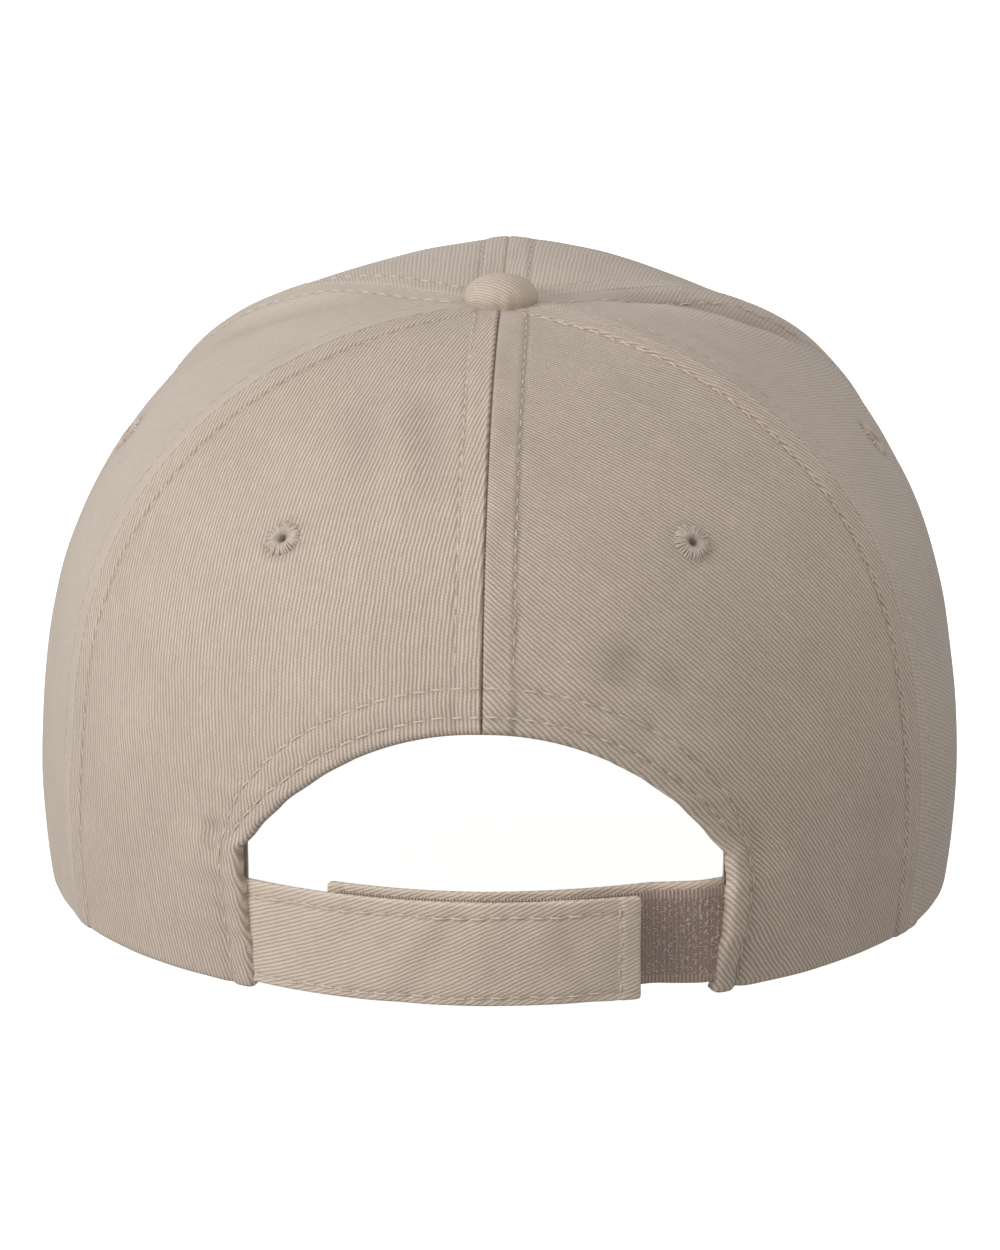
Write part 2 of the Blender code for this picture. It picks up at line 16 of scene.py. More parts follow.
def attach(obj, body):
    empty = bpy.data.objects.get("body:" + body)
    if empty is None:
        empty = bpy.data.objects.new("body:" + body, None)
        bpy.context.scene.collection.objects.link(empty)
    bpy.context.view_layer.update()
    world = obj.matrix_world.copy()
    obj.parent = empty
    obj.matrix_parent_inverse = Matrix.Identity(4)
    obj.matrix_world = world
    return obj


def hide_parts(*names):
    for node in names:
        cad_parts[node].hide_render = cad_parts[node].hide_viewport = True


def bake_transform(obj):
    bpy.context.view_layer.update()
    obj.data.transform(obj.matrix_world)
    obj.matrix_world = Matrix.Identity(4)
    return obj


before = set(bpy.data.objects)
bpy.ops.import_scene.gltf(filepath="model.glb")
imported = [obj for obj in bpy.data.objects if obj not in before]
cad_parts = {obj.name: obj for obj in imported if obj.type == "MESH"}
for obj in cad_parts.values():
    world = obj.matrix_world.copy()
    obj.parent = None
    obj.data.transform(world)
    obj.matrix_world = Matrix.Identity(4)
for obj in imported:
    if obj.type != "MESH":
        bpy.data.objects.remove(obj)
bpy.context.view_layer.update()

# ---------------------------------------------------------------- the cap's frame and sizes, as in the CAD

FLOOR_TILT = math.radians(4.18)
CAP_ORIGIN = (0.0, -0.0329, 0.00653)
TO_ROW = Matrix.Translation(CAP_ORIGIN) @ Matrix.Rotation(FLOOR_TILT, 4, "X")
MM = 0.001

HALF_WIDTH, FRONT_REACH, BACK_REACH, CROWN_HEIGHT = 89.1, 97.3, 102.0, 109.6
RIM_RISE, SIDE_DIP, RIM_TUCK, TUCK_HEIGHT, FRONT_LIFT = 12.0, 1.4, 0.022, 30.0, 5.7
DOME_BACK, DOME_FRONT, PANEL_FLATNESS = (1.976, 0.280), (3.284, 0.2635), (0.815, 0.051)
PANEL_ANGLE = math.pi / 3

ARCH_RADIUS, ARCH_TOP, HEM = 49.5, 52.0, 43.2
ARCH_CENTRE = ARCH_TOP - ARCH_RADIUS
ARCH_SWEEP = math.asin(HEM / ARCH_RADIUS)
HEM_TOP = ARCH_CENTRE + ARCH_RADIUS * math.cos(ARCH_SWEEP)

STRAP_BOTTOM, STRAP_WIDTH, INNER_LIFT = 1.0, 20.2, 1.0
STRAP_DEPTH, STRAP_THICK, INNER_DEPTH = 1.15, 1.2, 4.65
# how far from the middle the straps' free ends and their sewn roots are
OUTER_END, INNER_END, STRAP_ROOT = 29.0, 30.0, 60.2

VISOR_ANGLE, VISOR_SWEEP = math.radians(66), math.radians(107)
VISOR_HALF_WIDTH, VISOR_CENTRE, VISOR_REACH = 89.9, 74.0, 94.0
VISOR_RADIUS, VISOR_SLOPE, VISOR_SEAT, COVER_OUTSIDE = 147.0, 0.21, 2.3, 2.1

BUTTON_RADIUS, BUTTON_HEIGHT = 7.0, 4.4
EYELETS = {"front": (math.radians(30), 0.46), "side": (math.radians(90), 0.47),
           "back": (math.radians(151.5), 0.50)}
STITCH_PITCH = 3.55
SIDES = ((1, "right"), (-1, "left"))


def smooth(x):
    """Smoothstep of x, held to 0 and 1 outside."""
    x = np.clip(x, 0.0, 1.0)
    return x * x * (3 - 2 * x)


def bump(x, centre, width):
    """A Gaussian bump."""
    return np.exp(-((x - centre) / width) ** 2)


def rounded(inset, radius):
    """Height, 0 to 1, of a quarter-round edge at a distance in from it."""
    return np.sqrt(np.clip(1 - (1 - np.clip(inset / radius, 0, 1)) ** 2, 0, 1))


def places(*lists):
    """Every pairing of two lists' values as two flat columns, the first list's changing slowest."""
    return [grid.ravel() for grid in np.meshgrid(*lists, indexing="ij")]


def turned(u, v, degrees):
    """Coordinates across and along a direction so many degrees from u."""
    a = math.radians(degrees)
    return np.stack([v * math.cos(a) - u * math.sin(a), u * math.cos(a) + v * math.sin(a)], 1)


def bilinear(grid, t, s):
    """Value of a grid at fractional indices."""
    i = np.minimum(t.astype(int), grid.shape[0] - 2)
    j = np.minimum(s.astype(int), grid.shape[1] - 2)
    f, g = t - i, s - j
    return ((grid[i, j] * (1 - f) + grid[i + 1, j] * f) * (1 - g)
            + (grid[i, j + 1] * (1 - f) + grid[i + 1, j + 1] * f) * g)


# ---------------------------------------------------------------- the crown's surface

THETA_CELLS, SHARE_CELLS = 1440, 300
THETA_STEP, SHARE_STEP = 2 * math.pi / THETA_CELLS, 1 / SHARE_CELLS


def meridians():
    """Radius and height of the crown on a grid of angles and shares, and the cloth's length at each angle."""
    theta = np.arange(THETA_CELLS + 1)[:, None] * THETA_STEP
    phi = np.linspace(0, 1, 1200)[None] ** 2 * math.pi / 2
    c, s = np.cos(theta), np.sin(theta)
    rim_radius = 1 / np.hypot(s / HALF_WIDTH, c / np.where(c > 0, FRONT_REACH, BACK_REACH))
    middle = (np.floor(theta / PANEL_ANGLE + 1e-9) + 0.5) * PANEL_ANGLE
    hollow = np.clip(1 - math.cos(PANEL_ANGLE / 2) / np.cos(theta - middle), 0, 1)
    boxy = smooth(0.5 + 0.5 * c)
    power = DOME_BACK[0] + (DOME_FRONT[0] - DOME_BACK[0]) * boxy
    fall = DOME_BACK[1] + (DOME_FRONT[1] - DOME_BACK[1]) * boxy
    reach_power = 1 - np.cos(phi) ** (1 / fall)
    out = reach_power ** (1 / power)
    rim = RIM_RISE * np.maximum(c, 0) ** 3 - SIDE_DIP * s ** 2
    z = rim + (CROWN_HEIGHT - rim) * np.cos(phi)
    flatness = PANEL_FLATNESS[0] + (PANEL_FLATNESS[1] - PANEL_FLATNESS[0]) * reach_power
    r = rim_radius * out * (1 - flatness * hollow)
    r = r * (1 - RIM_TUCK * np.clip(1 - (z - rim) / TUCK_HEIGHT, 0, 1) ** 2)
    z = z + FRONT_LIFT * np.maximum(c, 0) ** 2 * np.sin(math.pi * out) ** 2
    length = np.pad(np.cumsum(np.hypot(np.diff(r), np.diff(z)), axis=1), ((0, 0), (1, 0)))
    share = np.linspace(0, 1, SHARE_CELLS + 1)
    radii = np.array([np.interp(share * l[-1], l, row) for l, row in zip(length, r)])
    heights = np.array([np.interp(share * l[-1], l, row) for l, row in zip(length, z)])
    return radii, heights, length[:, -1]


RADII, HEIGHTS, LENGTHS = meridians()


def sample(grid, theta, share):
    """Value of a grid of angles and shares."""
    return bilinear(grid, np.mod(theta, 2 * math.pi) / THETA_STEP, np.clip(share, 0, 1) * SHARE_CELLS)


def cloth_length(theta):
    """Length of the cloth from button to rim."""
    return np.interp(np.mod(theta, 2 * math.pi), np.arange(THETA_CELLS + 1) * THETA_STEP, LENGTHS)


def skin(theta, share):
    """Points on the crown's plain outer face."""
    r = sample(RADII, theta, share)
    return np.stack([r * np.sin(theta), r * np.cos(theta), sample(HEIGHTS, theta, share)], -1)


def skin_normal(theta, share):
    """Outward unit normals of the plain outer face."""
    share = np.clip(share, 0.03, 1)
    across = skin(theta + THETA_STEP, share) - skin(theta - THETA_STEP, share)
    down = skin(theta, share + SHARE_STEP) - skin(theta, share - SHARE_STEP)
    n = np.cross(across, down)
    return n / np.linalg.norm(n, axis=-1, keepdims=True)


BACK_SLICE = slice(THETA_CELLS // 4, 3 * THETA_CELLS // 4 + 1)
BACK_THETA = np.arange(THETA_CELLS + 1)[BACK_SLICE] * THETA_STEP
BACK_Z = np.linspace(0, 70, 281)
ALL_SHARES = np.linspace(0, 1, SHARE_CELLS + 1)
BACK_RADII = np.array([np.interp(-BACK_Z, -h, r) for h, r in zip(HEIGHTS[BACK_SLICE], RADII[BACK_SLICE])])
BACK_SHARES = np.array([np.interp(-BACK_Z, -h, ALL_SHARES) for h in HEIGHTS[BACK_SLICE]])


def back_value(grid, theta, z):
    """Value of a grid of back angles and heights."""
    return bilinear(grid, np.clip((theta - BACK_THETA[0]) / THETA_STEP, 0, len(BACK_THETA) - 1.001),
                    np.clip(z / (BACK_Z[1] - BACK_Z[0]), 0, len(BACK_Z) - 1.001))


def at_back(x, z):
    """Angle and share of the places on the back of the crown at given x and height."""
    x, z = np.broadcast_arrays(np.asarray(x, float), np.asarray(z, float))
    theta = np.full(x.shape, math.pi)
    for _ in range(14):
        theta = math.pi - np.arcsin(np.clip(x / back_value(BACK_RADII, theta, z), -1, 1))
    return theta, back_value(BACK_SHARES, theta, z)


# ---------------------------------------------------------------- relief: seams, grooves, puckers, wrinkles

def seeded_waves(seed, count, low, high):
    """Random directions, wave numbers and phases for a smooth unrepeating undulation."""
    rng = np.random.default_rng(seed)
    axis = rng.normal(size=(count, 3))
    axis /= np.linalg.norm(axis, axis=1)[:, None]
    return axis * (2 * math.pi / rng.uniform(low, high, count))[:, None], rng.uniform(0, 2 * math.pi, count)


BROAD_WAVES = seeded_waves(7, 9, 38.0, 90.0)
FINE_WAVES = seeded_waves(11, 12, 9.0, 22.0)


def waves(points, kind):
    """Smooth noise of about unit size."""
    numbers, phase = kind
    return np.sin(points @ numbers.T + phase).sum(-1) / math.sqrt(len(phase))


def seam_distance(theta, share, seam):
    """Signed distance from a seam, along the cloth, positive with the angle."""
    turn = np.mod(theta - seam + math.pi, 2 * math.pi) - math.pi
    return turn * sample(RADII, theta, share)


OUTER_ROW_ARC, OUTER_ROW_HEM, OUTER_ROW_ROUNDING = ARCH_RADIUS + 8.0, HEM + 4.6, 5.0


def outer_row_distance(x, z):
    """Distance outside the arch's outer topstitch row, which runs on down beside the hems."""
    a, b = np.hypot(x, z - ARCH_CENTRE) - OUTER_ROW_ARC, np.abs(x) - OUTER_ROW_HEM
    return (a + b + np.sqrt((a - b) ** 2 + OUTER_ROW_ROUNDING ** 2)) / 2


def outer_row():
    """x and height of the outer topstitch row, from the left hem's foot over the arch to the right one's."""
    angle = np.linspace(-1.56, 1.56, 1500)
    lean = np.abs(np.sin(angle)) + 1e-9
    b = OUTER_ROW_ARC * lean + OUTER_ROW_HEM
    c = OUTER_ROW_ARC * OUTER_ROW_HEM - OUTER_ROW_ROUNDING ** 2 / 4
    radius = (b - np.sqrt(b ** 2 - 4 * lean * c)) / (2 * lean)
    return radius * np.sin(angle), ARCH_CENTRE + radius * np.cos(angle)


def arch_distance(x, z):
    """Distance outside the arch's outline, seen from behind."""
    arc = np.hypot(x, z - ARCH_CENTRE) - ARCH_RADIUS
    hem = (np.abs(x) - HEM) * 1.08
    angle = np.arctan2(np.abs(x), z - ARCH_CENTRE)
    return np.where((z > ARCH_CENTRE) & (angle < ARCH_SWEEP), arc, hem)


def on_hems(z):
    """1 beside the hems, 0 over the arch."""
    return smooth((HEM_TOP + 6 - z) / 14)


ARCH_REGION = 66.0                  # the arch's stitching and hems lie below this height

# seam angle in degrees: distances of its topstitch rows on the low and the high side, heights of the
# allowance there, depth of the seam's crease, which also sets the painted shade in the crease
SEAMS = {0: (4.8, 4.8, 0.08, 0.12, 0.14), 60: (5.0, 5.0, 0.16, 0.14, 0.18),
         120: (5.1, 4.9, 0.26, 0.42, 0.36), 180: (5.6, 4.8, 0.18, 0.36, 0.46),
         240: (4.9, 5.1, 0.20, 0.16, 0.26), 300: (5.0, 5.0, 0.12, 0.14, 0.18)}


def seam_relief(theta, share, ripple):
    """Creases, allowances and puckered stitch rows of the six seams."""
    total = np.zeros(len(theta))
    from_button = share * cloth_length(theta)
    for degrees, (low, high, low_ridge, high_ridge, crease) in SEAMS.items():
        d = seam_distance(theta, share, math.radians(degrees))
        row = np.where(d < 0, low, high)
        ridge = np.where(d < 0, low_ridge, high_ridge)
        e = np.abs(d)
        pucker = 0.5 + 0.5 * np.sin(2 * math.pi * from_button / STITCH_PITCH + (degrees % 7))
        total += ridge * smooth((e - 0.06) / 0.34) * (1 - smooth((e - row + 0.5) / 0.9))
        total -= crease * bump(e, 0, 0.20) + (0.14 + 0.12 * pucker) * bump(e, row, 0.45)
        total += 0.10 * ripple * bump(e, row * 0.5, row * 0.45)
    return total


def arch_relief(x, z, ripple):
    """The arch's turned edge with its two stitch rows, and the folded hems below it."""
    d, beyond, low = arch_distance(x, z), outer_row_distance(x, z), on_hems(z)
    total = rounded(d, 1.0) - 1 + 0.22 * smooth(d / 1.2) * (1 - smooth((beyond + 0.4) / 1.0))
    swell = 0.5 + 0.5 * np.sin(2 * math.pi * (np.abs(x) + 0.6 * np.abs(z)) / STITCH_PITCH)
    total -= (0.18 + 0.08 * swell) * bump(beyond, 0, 0.6)
    total -= (0.16 + 0.06 * swell) * bump(d, 3.0, 0.55) * (1 - low)
    total += 0.10 * ripple * (1 - smooth((d - 7) / 3))
    # side, height and middle of each hem's roll, depth and place of the groove beside it, its width
    for side, roll, roll_at, groove, groove_at, width in ((1, 0.75, 2.6, 0.65, 5.2, 0.9),
                                                          (-1, 0.25, 2.4, 0.30, 5.0, 0.8)):
        shape = roll * np.clip(1 - ((d - roll_at) / 2.6) ** 2, 0, 1) - groove * bump(d, groove_at, width)
        total += low * (side * x > 0) * shape
    # folds at the top of each hem: height, x and its width, z and its width
    for height, at_x, width, at_z, tall in ((0.45, 45.4, 1.7, 27.0, 3.5), (-1.1, 48.2, 1.2, 27.5, 4.0),
                                            (-0.65, -48.3, 1.0, 28.5, 3.0)):
        total += height * bump(x, at_x, width) * bump(z, at_z, tall)
    return total


def relief(theta, share, points):
    """How far the sewn cloth stands out from the plain surface."""
    x, y, z = points.T
    r = np.hypot(x, y)
    ripple = waves(points, FINE_WAVES)
    total = 0.30 * waves(points, BROAD_WAVES) * smooth((r - 8) / 25) + 0.05 * ripple
    total += seam_relief(theta, share, ripple) * smooth((r - 3.5) / 7)
    total += np.where((y < 0) & (z < ARCH_REGION), arch_relief(x, z, ripple), 0)
    for path, height, width in WRINKLES:
        total += height * wrinkle(points, np.array(path, float), width)
    return total


def wrinkle(points, path, width):
    """1 on a path of points and fading away from it, and towards its ends."""
    best, where = np.full(len(points), 1e9), np.zeros(len(points))
    for k in range(len(path) - 1):
        span = path[k + 1] - path[k]
        t = np.clip((points - path[k]) @ span / (span @ span), 0, 1)
        away = np.linalg.norm(points - path[k] - t[:, None] * span, axis=1)
        near = away < best
        best, where = np.where(near, away, best), np.where(near, (k + t) / (len(path) - 1), where)
    return np.exp(-(best / width) ** 2) * smooth(where / 0.3 + 0.15) * smooth((1 - where) / 0.3 + 0.15)


# soft folds and dents in the cloth: path, height, width; the height also paints light and shade on the
# cloth's colour
WRINKLES = [
    ([(18, 4.5, 109), (27, 10, 109), (34, 12.5, 107.7), (46, 15, 103.9), (53.4, 20.2, 100.2), (60, 29, 95.5)],
     -1.6, 3.5),
    ([(18, 1, 109), (30, 6, 108.4), (38, 8, 106.6), (47, 10, 103), (54, 15, 99.4), (61, 23, 95)], 0.65, 2.6),
    ([(22, 13, 109.4), (34, 18, 107.6), (46, 21, 103.5), (54, 27, 99)], 0.35, 2.6),
    ([(26, -1, 108), (40, -6, 103.6), (50, -12, 98)], -0.22, 2.6),
    ([(-24, 8, 109.2), (-34.7, 13, 107.7), (-45.3, 16.1, 104.3), (-55.3, 23.3, 99.1)], 0.50, 3.0),
    ([(-24, 3, 109), (-36, 7, 106.8), (-47, 9, 103), (-57, 15, 97)], -0.40, 3.0),
    ([(-14, -40, 103), (-11, -58, 94), (-9, -72, 84)], -0.85, 4.0),
    ([(-24, -42, 101), (-21, -56, 93), (-20, -64, 87)], -0.50, 4.0),
    ([(-18, -42, 102), (-16, -58, 93), (-15, -70, 84)], 0.35, 3.5),
    ([(28, -86, 66), (24, -91, 58)], -0.75, 4.0), ([(36, -85, 62), (33, -88, 56)], -0.55, 4.0),
    ([(18, -90, 62), (14, -94, 55)], 0.30, 4.5), ([(30, -92, 50), (44, -86, 44)], 0.28, 4.0),
    ([(-53, -80, 30), (-55, -80, 18), (-57, -79, 8)], 0.30, 4.0),
    ([(-49.5, -83, 32), (-48.6, -84, 24)], -0.50, 2.0),
    ([(51, -82, 27), (54, -81, 14), (55, -80, 5)], 0.40, 3.6), ([(60, -77, 40), (68, -70, 56)], 0.30, 5.0),
    ([(-60, -72, 50), (-74, -58, 40)], 0.25, 7.0), ([(70, -66, 30), (80, -52, 22)], -0.30, 6.0),
]


def cloth_face(theta, share, depth=0.0, drop=0.0):
    """Points on the sewn crown: relief added, pushed in by a depth and out past the rim by a drop."""
    plain = skin(theta, share)
    n = skin_normal(theta, share)
    down = skin(theta, share) - skin(theta, share - 0.01)
    down /= np.maximum(np.linalg.norm(down, axis=-1, keepdims=True), 1e-9)
    out = relief(theta, share, plain) - np.asarray(depth)
    placed = plain + n * out[..., None] + down * np.reshape(drop, (-1, 1))
    placed[..., 0] += sway(plain)
    return placed, n


def sway(points):
    """How far the cut hems of the arch lean and wave to the side."""
    x, y, z = points.T
    d = arch_distance(x, z)
    right = np.interp(z, [0, 4, 12, 21, 27, 36, 44], [-2.0, -1.1, 0.3, 1.5, 0.9, 0.0, 0.0])
    left = np.interp(z, [0, 4, 13, 20, 27, 36, 44], [1.5, 0.7, -0.1, -0.8, -1.2, -0.2, 0.0])
    wave = 0.16 * np.sin(z / 1.9 + 1.0) + 0.12 * np.sin(z / 0.83)
    shift = np.where(x > 0, right + wave, left - wave)
    return np.where((y < 0) & (z < 46), shift * (1 - smooth((d - 3) / 16)), 0)


# ---------------------------------------------------------------- making meshes

ROTATION = np.array(TO_ROW.to_3x3())
SHIFT = np.array(TO_ROW.translation)


def to_row(points):
    """Cap millimetres to row-frame metres."""
    return np.asarray(points) @ ROTATION.T * MM + SHIFT


def in_scene(name, data):
    """A new object in the scene."""
    made = bpy.data.objects.new(name, data)
    bpy.context.scene.collection.objects.link(made)
    return made


def add_piece(name, points, faces, finish, body="cap", slot="khaki_twill", replaces=(), cloth=None, tone=None,
              blend=None, sharp=55, recalculate=True):
    """Make a mesh piece, give it its cloth coordinates, and tie it to the frame."""
    mesh = bpy.data.meshes.new(name)
    mesh.from_pydata(to_row(points).tolist(), [], [tuple(int(i) for i in f) for f in faces])
    if recalculate:
        bm = bmesh.new()
        bm.from_mesh(mesh)
        bmesh.ops.recalc_face_normals(bm, faces=bm.faces)
        bm.to_mesh(mesh)
        bm.free()
    if cloth is not None:
        values = np.zeros((len(points), 3), np.float32)
        values[:, :cloth.shape[1]] = cloth
        mesh.attributes.new("cloth", "FLOAT_VECTOR", "POINT").data.foreach_set("vector", values.ravel())
    # tone: a factor on the colour, 1 where none is given; it carries faded edges and painted light and shade
    values = np.ones(len(points), np.float32) if tone is None else np.asarray(tone, np.float32)
    mesh.attributes.new("tone", "FLOAT", "POINT").data.foreach_set("value", values)
    mesh.materials.append(finish)
    mesh.shade_smooth()
    mesh.set_sharp_from_angle(angle=math.radians(sharp))
    made = in_scene(name, mesh)
    if blend:
        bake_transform(made)
    else:
        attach(made, body)
    if replaces:
        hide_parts(*replaces)
    return made


def grid_quads(columns, rows):
    """Quads of a grid of points stored column by column."""
    i, j = np.meshgrid(np.arange(columns - 1), np.arange(rows - 1), indexing="ij")
    a = (i * rows + j).ravel()
    return np.stack([a, a + rows, a + rows + 1, a + 1], 1)


def shell(outer, inner, quads):
    """A closed shell between two sheets of the same quads."""
    n = len(outer)
    edges = np.concatenate([quads[:, [k, (k + 1) % 4]] for k in range(4)])
    _, first, count = np.unique(np.sort(edges, axis=1), axis=0, return_index=True, return_counts=True)
    rim = edges[first[count == 1]]
    walls = np.stack([rim[:, 1], rim[:, 0], rim[:, 0] + n, rim[:, 1] + n], 1)
    return np.concatenate([outer, inner]), np.concatenate([quads, quads[:, ::-1] + n, walls])


def add_sheet(name, outer, inner, quads, finish, slot, cloth=None, tone=None, replaces=None, **more):
    """A closed sheet between two faces of the same quads, in place of the CAD node of its name or others."""
    points, faces = shell(outer, inner, quads)
    cloth, tone = (value if value is None else np.concatenate([value, value]) for value in (cloth, tone))
    return add_piece(name, points, faces, finish, slot=slot, cloth=cloth, tone=tone,
                     replaces=replaces or [name], **more)


def joined(parts):
    """One list of points and faces from several (points, faces)."""
    points, faces, start = [], [], 0
    for p, f in parts:
        points.append(p)
        faces += [tuple(i + start for i in face) for face in f]
        start += len(p)
    return np.concatenate(points), faces


# ---------------------------------------------------------------- thread

def add_threads(name, parts, finish, slot="eyelet_thread", body="cap", blend=None):
    """One piece made of many threads."""
    points, faces = joined(parts)
    add_piece(name, points, faces, finish, body, slot, blend=blend, recalculate=False)


def tube_faces(levels, sides, start=0):
    """Faces of a closed tube of rings of points, the first point's index being start."""
    last = start + (levels - 1) * sides
    faces = []
    for a in range(start, last, sides):
        for s in range(sides):
            after = (s + 1) % sides
            faces.append((a + s, a + after, a + sides + after, a + sides + s))
    return faces + [tuple(range(start, start + sides))[::-1], tuple(range(last, last + sides))]


def along(path, step_start, step, count, fractions):
    """Places at fractions of each stitch along a path of points: indices into the path, as floats."""
    length = np.concatenate([[0], np.cumsum(np.linalg.norm(np.diff(path, axis=0), axis=1))])
    wanted = step_start + step * np.arange(count)[:, None] + fractions[None]
    return np.interp(wanted, length, np.arange(len(path)))


def lerp(rows, index):
    """Rows at fractional indices."""
    i = np.minimum(index.astype(int), len(rows) - 2)
    f = (index - i)[..., None]
    return rows[i] * (1 - f) + rows[i + 1] * f


def stitches(path, normals, pitch=STITCH_PITCH, length=3.0, radius=0.21, lift=0.16, sink=0.34, seed=0,
             sides=8, start=0.6, stop=0.4, lean=0.10):
    """A row of sewn stitches lying on a path, each a short thread whose ends go down into the cloth."""
    total = np.linalg.norm(np.diff(path, axis=0), axis=1).sum()
    count = max(int((total - start - stop - length) // pitch) + 1, 1)
    t = np.array([0.0, 0.06, 0.16, 0.34, 0.5, 0.66, 0.84, 0.94, 1.0])
    index = along(path, start, pitch, count, t * length)
    centre, normal = lerp(path, index), lerp(normals, index)
    tangent = np.gradient(centre, axis=1)
    tangent /= np.linalg.norm(tangent, axis=2, keepdims=True)
    normal /= np.linalg.norm(normal, axis=2, keepdims=True)
    side = np.cross(tangent, normal)
    rng = np.random.default_rng(seed)
    height = -sink + (sink + lift) * np.sin(math.pi * t) ** 0.45
    tilt = rng.normal(0, lean, (count, 1)) * (t - 0.5) + rng.normal(0, 0.04, (count, 1))
    centre = centre + normal * height[None, :, None] + side * (tilt + lean * 1.2 * (t - 0.5))[..., None]
    thick = radius * (0.62 + 0.38 * np.sin(math.pi * t) ** 0.5) * rng.uniform(0.9, 1.1, (count, 1))
    angle = np.arange(sides) * 2 * math.pi / sides
    ring = (side[:, :, None] * np.cos(angle)[None, None, :, None]
            + normal[:, :, None] * (np.sin(angle) * 0.82)[None, None, :, None])
    points = centre[:, :, None] + ring * thick[:, :, None, None]
    starts = range(0, count * len(t) * sides, len(t) * sides)
    return points.reshape(-1, 3), [face for start in starts for face in tube_faces(len(t), sides, start)]


def tube(centre, normal, radius, sides=6):
    """A tube along one path, its ends closed; normal and radius may be one for the path or one per point."""
    tangent = np.gradient(centre, axis=0)
    tangent /= np.linalg.norm(tangent, axis=1, keepdims=True)
    side = np.cross(tangent, normal)
    side /= np.linalg.norm(side, axis=1, keepdims=True)
    up = np.cross(side, tangent)
    angle = np.arange(sides) * 2 * math.pi / sides
    ring = side[:, None] * np.cos(angle)[None, :, None] + up[:, None] * np.sin(angle)[None, :, None]
    points = centre[:, None] + ring * np.reshape(radius, (-1, 1, 1))
    return points.reshape(-1, 3), tube_faces(len(centre), sides)


# ---------------------------------------------------------------- materials

class Nodes:
    """A short way to wire a material."""

    def __init__(self, name):
        self.material = bpy.data.materials.new(name)
        self.material.use_nodes = True
        self.tree = self.material.node_tree
        self.shader = self.tree.nodes["Principled BSDF"]

    def put(self, socket, value):
        """Link or set an input."""
        if isinstance(value, bpy.types.NodeSocket):
            self.tree.links.new(value, socket)
        elif isinstance(value, tuple) and len(value) == 3 and socket.type == "RGBA":
            socket.default_value = (*value, 1.0)
        else:
            socket.default_value = value

    def math(self, operation, a, b=0.0, c=None, clamp=False):
        """A math node's output."""
        node = self.tree.nodes.new("ShaderNodeMath")
        node.operation = operation
        node.use_clamp = clamp
        self.put(node.inputs[0], a)
        self.put(node.inputs[1], b)
        if c is not None:
            self.put(node.inputs[2], c)
        return node.outputs[0]

    def plus(self, a, b):
        """a + b."""
        return self.math("ADD", a, b)

    def times(self, a, b):
        """a * b."""
        return self.math("MULTIPLY", a, b)

    def fit(self, value, gain, offset, clamp=False):
        """value * gain + offset."""
        return self.math("MULTIPLY_ADD", value, gain, offset, clamp)

    def wave(self, value, pitch):
        """A sine wave along a value, from 0 to 1."""
        return self.fit(self.math("SINE", self.times(value, 2 * math.pi / pitch)), 0.5, 0.5)

    def attribute(self, name):
        """A mesh attribute's vector and number."""
        node = self.tree.nodes.new("ShaderNodeAttribute")
        node.attribute_name = name
        return node.outputs["Vector"], node.outputs["Fac"]

    def split(self, vector):
        """The three parts of a vector."""
        node = self.tree.nodes.new("ShaderNodeSeparateXYZ")
        self.put(node.inputs[0], vector)
        return node.outputs

    def wander(self, vector, scale):
        """Soft noise about 0."""
        return self.math("SUBTRACT", self.noise(vector, scale), 0.5)

    def noise(self, vector, scale, detail=2.0, roughness=0.5):
        """Noise about 0.5."""
        node = self.tree.nodes.new("ShaderNodeTexNoise")
        self.put(node.inputs["Vector"], vector)
        node.inputs["Scale"].default_value = scale
        node.inputs["Detail"].default_value = detail
        node.inputs["Roughness"].default_value = roughness
        return node.outputs["Fac"]

    def mix(self, factor, a, b, blend="MIX"):
        """A colour mix."""
        node = self.tree.nodes.new("ShaderNodeMix")
        node.data_type = "RGBA"
        node.blend_type = blend
        self.put(node.inputs["Factor"], factor)
        self.put(node.inputs[6], a)
        self.put(node.inputs[7], b)
        return node.outputs[2]

    def object_coords(self):
        """The piece's own coordinates, in metres."""
        return self.tree.nodes.new("ShaderNodeTexCoord").outputs["Object"]

    def scaled(self, vector, scale):
        """A vector times three numbers."""
        node = self.tree.nodes.new("ShaderNodeVectorMath")
        node.operation = "MULTIPLY"
        self.put(node.inputs[0], vector)
        node.inputs[1].default_value = scale
        return node.outputs[0]

    def finish(self, colour, height, distance, roughness, sheen=0.0, metallic=0.0, specular=0.3):
        """Wire the shader."""
        self.put(self.shader.inputs["Base Color"], colour)
        self.put(self.shader.inputs["Roughness"], roughness)
        self.shader.inputs["Metallic"].default_value = metallic
        self.shader.inputs["Specular IOR Level"].default_value = specular
        self.shader.inputs["Sheen Weight"].default_value = sheen
        self.shader.inputs["Sheen Roughness"].default_value = 0.4
        node = self.tree.nodes.new("ShaderNodeBump")
        node.inputs["Strength"].default_value = 1.0
        node.inputs["Distance"].default_value = distance
        self.put(node.inputs["Height"], height)
        self.tree.links.new(node.outputs["Normal"], self.shader.inputs["Normal"])
        return self.material


FLOAT_LENGTH, YARN_PITCH, RIB_PITCH, PICK_PITCH = 0.62, 0.9, 0.62, 0.5


